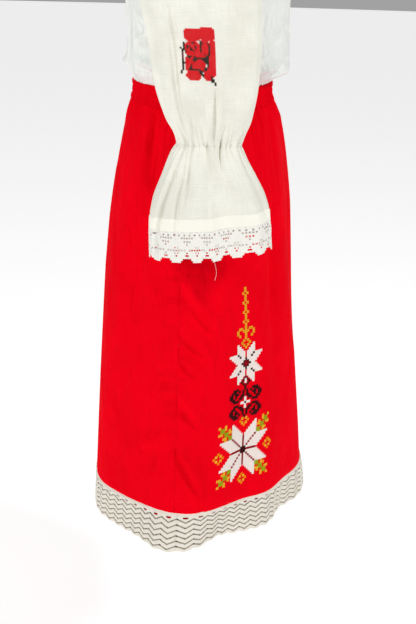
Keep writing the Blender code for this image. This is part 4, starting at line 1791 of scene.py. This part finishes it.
@dataclass(frozen=True)
class Studio:
    """Camera at the photograph's angle, soft light and a pale floor."""

    place: tuple[float, float, float] = (-1.32573, -0.12858, -0.2627)
    yaw: float = 4.8
    pitch: float = -20.5
    roll: float = 1.55
    focal_px: float = 898.0
    frame_height_px: float = 624.0
    sensor: float = 36.0
    sky: float = 0.36
    key: Lamp = Lamp("key", (-1.3, -2.7, 2.1), 0.8, 57.0)
    fill: Lamp = Lamp("fill", (-2.6, 2.0, 1.0), 1.2, 44.0)
    aim: tuple[float, float, float] = (0.0, 0.0, -0.5)
    floor: float = -1.45
    floor_radius: float = 40.0
    floor_glow: float = 0.50

    def build_camera(self) -> None:
        """Set the camera, turned as the photograph's perspective asks."""
        yaw, pitch, roll = (math.radians(a) for a in (self.yaw, self.pitch, self.roll))
        level = math.cos(pitch)
        look = Vector((math.cos(yaw) * level, math.sin(yaw) * level, math.sin(pitch)))
        right = Vector((math.sin(yaw), -math.cos(yaw), 0.0))
        up = right.cross(look)
        rolled_right = right * math.cos(roll) + up * math.sin(roll)
        rolled_up = up * math.cos(roll) - right * math.sin(roll)
        data = bpy.data.cameras.new("camera")
        data.sensor_fit = "VERTICAL"
        data.sensor_height = self.sensor
        data.lens = self.focal_px / self.frame_height_px * self.sensor
        camera = bpy.data.objects.new("camera", data)
        turn = Matrix((rolled_right, rolled_up, -look)).transposed()
        camera.matrix_world = Matrix.Translation(self.place) @ turn.to_4x4()
        bpy.context.scene.collection.objects.link(camera)
        bpy.context.scene.camera = camera

    def build_light(self) -> None:
        """Light the dress softly, mostly from above and from its front."""
        world = bpy.data.worlds.new("studio")
        bpy.context.scene.world = world
        world.use_nodes = True
        sky = world.node_tree.nodes["Background"]
        sky.inputs["Color"].default_value = (1.0, 1.0, 1.0, 1.0)
        sky.inputs["Strength"].default_value = self.sky
        for lamp in (self.key, self.fill):
            data = bpy.data.lights.new(lamp.name, "AREA")
            data.shape = "DISK"
            data.size = lamp.size
            data.energy = lamp.watts
            made = bpy.data.objects.new(lamp.name, data)
            aim = Vector(self.aim) - Vector(lamp.place)
            turn = aim.to_track_quat("-Z", "Y").to_matrix().to_4x4()
            made.matrix_world = Matrix.Translation(lamp.place) @ turn
            bpy.context.scene.collection.objects.link(made)
        bpy.context.scene.view_settings.view_transform = "Standard"

    def build_floor(self) -> None:
        """Lay a wide pale floor well below the hem, where the wearer would stand."""
        bm = bmesh.new()
        bmesh.ops.create_circle(bm, cap_ends=True, segments=64, radius=self.floor_radius)
        bmesh.ops.translate(bm, verts=bm.verts, vec=(0.0, 0.0, self.floor))
        mesh = bpy.data.meshes.new("floor")
        bm.to_mesh(mesh)
        bm.free()
        floor = bpy.data.objects.new("floor", mesh)
        bpy.context.scene.collection.objects.link(floor)
        material = bpy.data.materials.new("pale_paper")
        material.use_nodes = True
        shader = material.node_tree.nodes["Principled BSDF"]
        shader.inputs["Base Color"].default_value = linear("#FAFAFA")
        shader.inputs["Roughness"].default_value = 0.9
        shader.inputs["Emission Color"].default_value = (1.0, 1.0, 1.0, 1.0)
        shader.inputs["Emission Strength"].default_value = self.floor_glow
        floor.data.materials.append(material)


def main() -> None:
    """Build the studio, then every piece of the dress."""
    logging.basicConfig(level=logging.INFO, format="%(message)s")
    studio = Studio()
    studio.build_camera()
    studio.build_light()
    studio.build_floor()
    skirt = Skirt()
    skirt.build()
    Bodice().build()
    for side in Side:
        Sleeve(side).build()
    Embroidery(skirt).build()
    LooseThread().build()


if __name__ == "__main__":
    main()
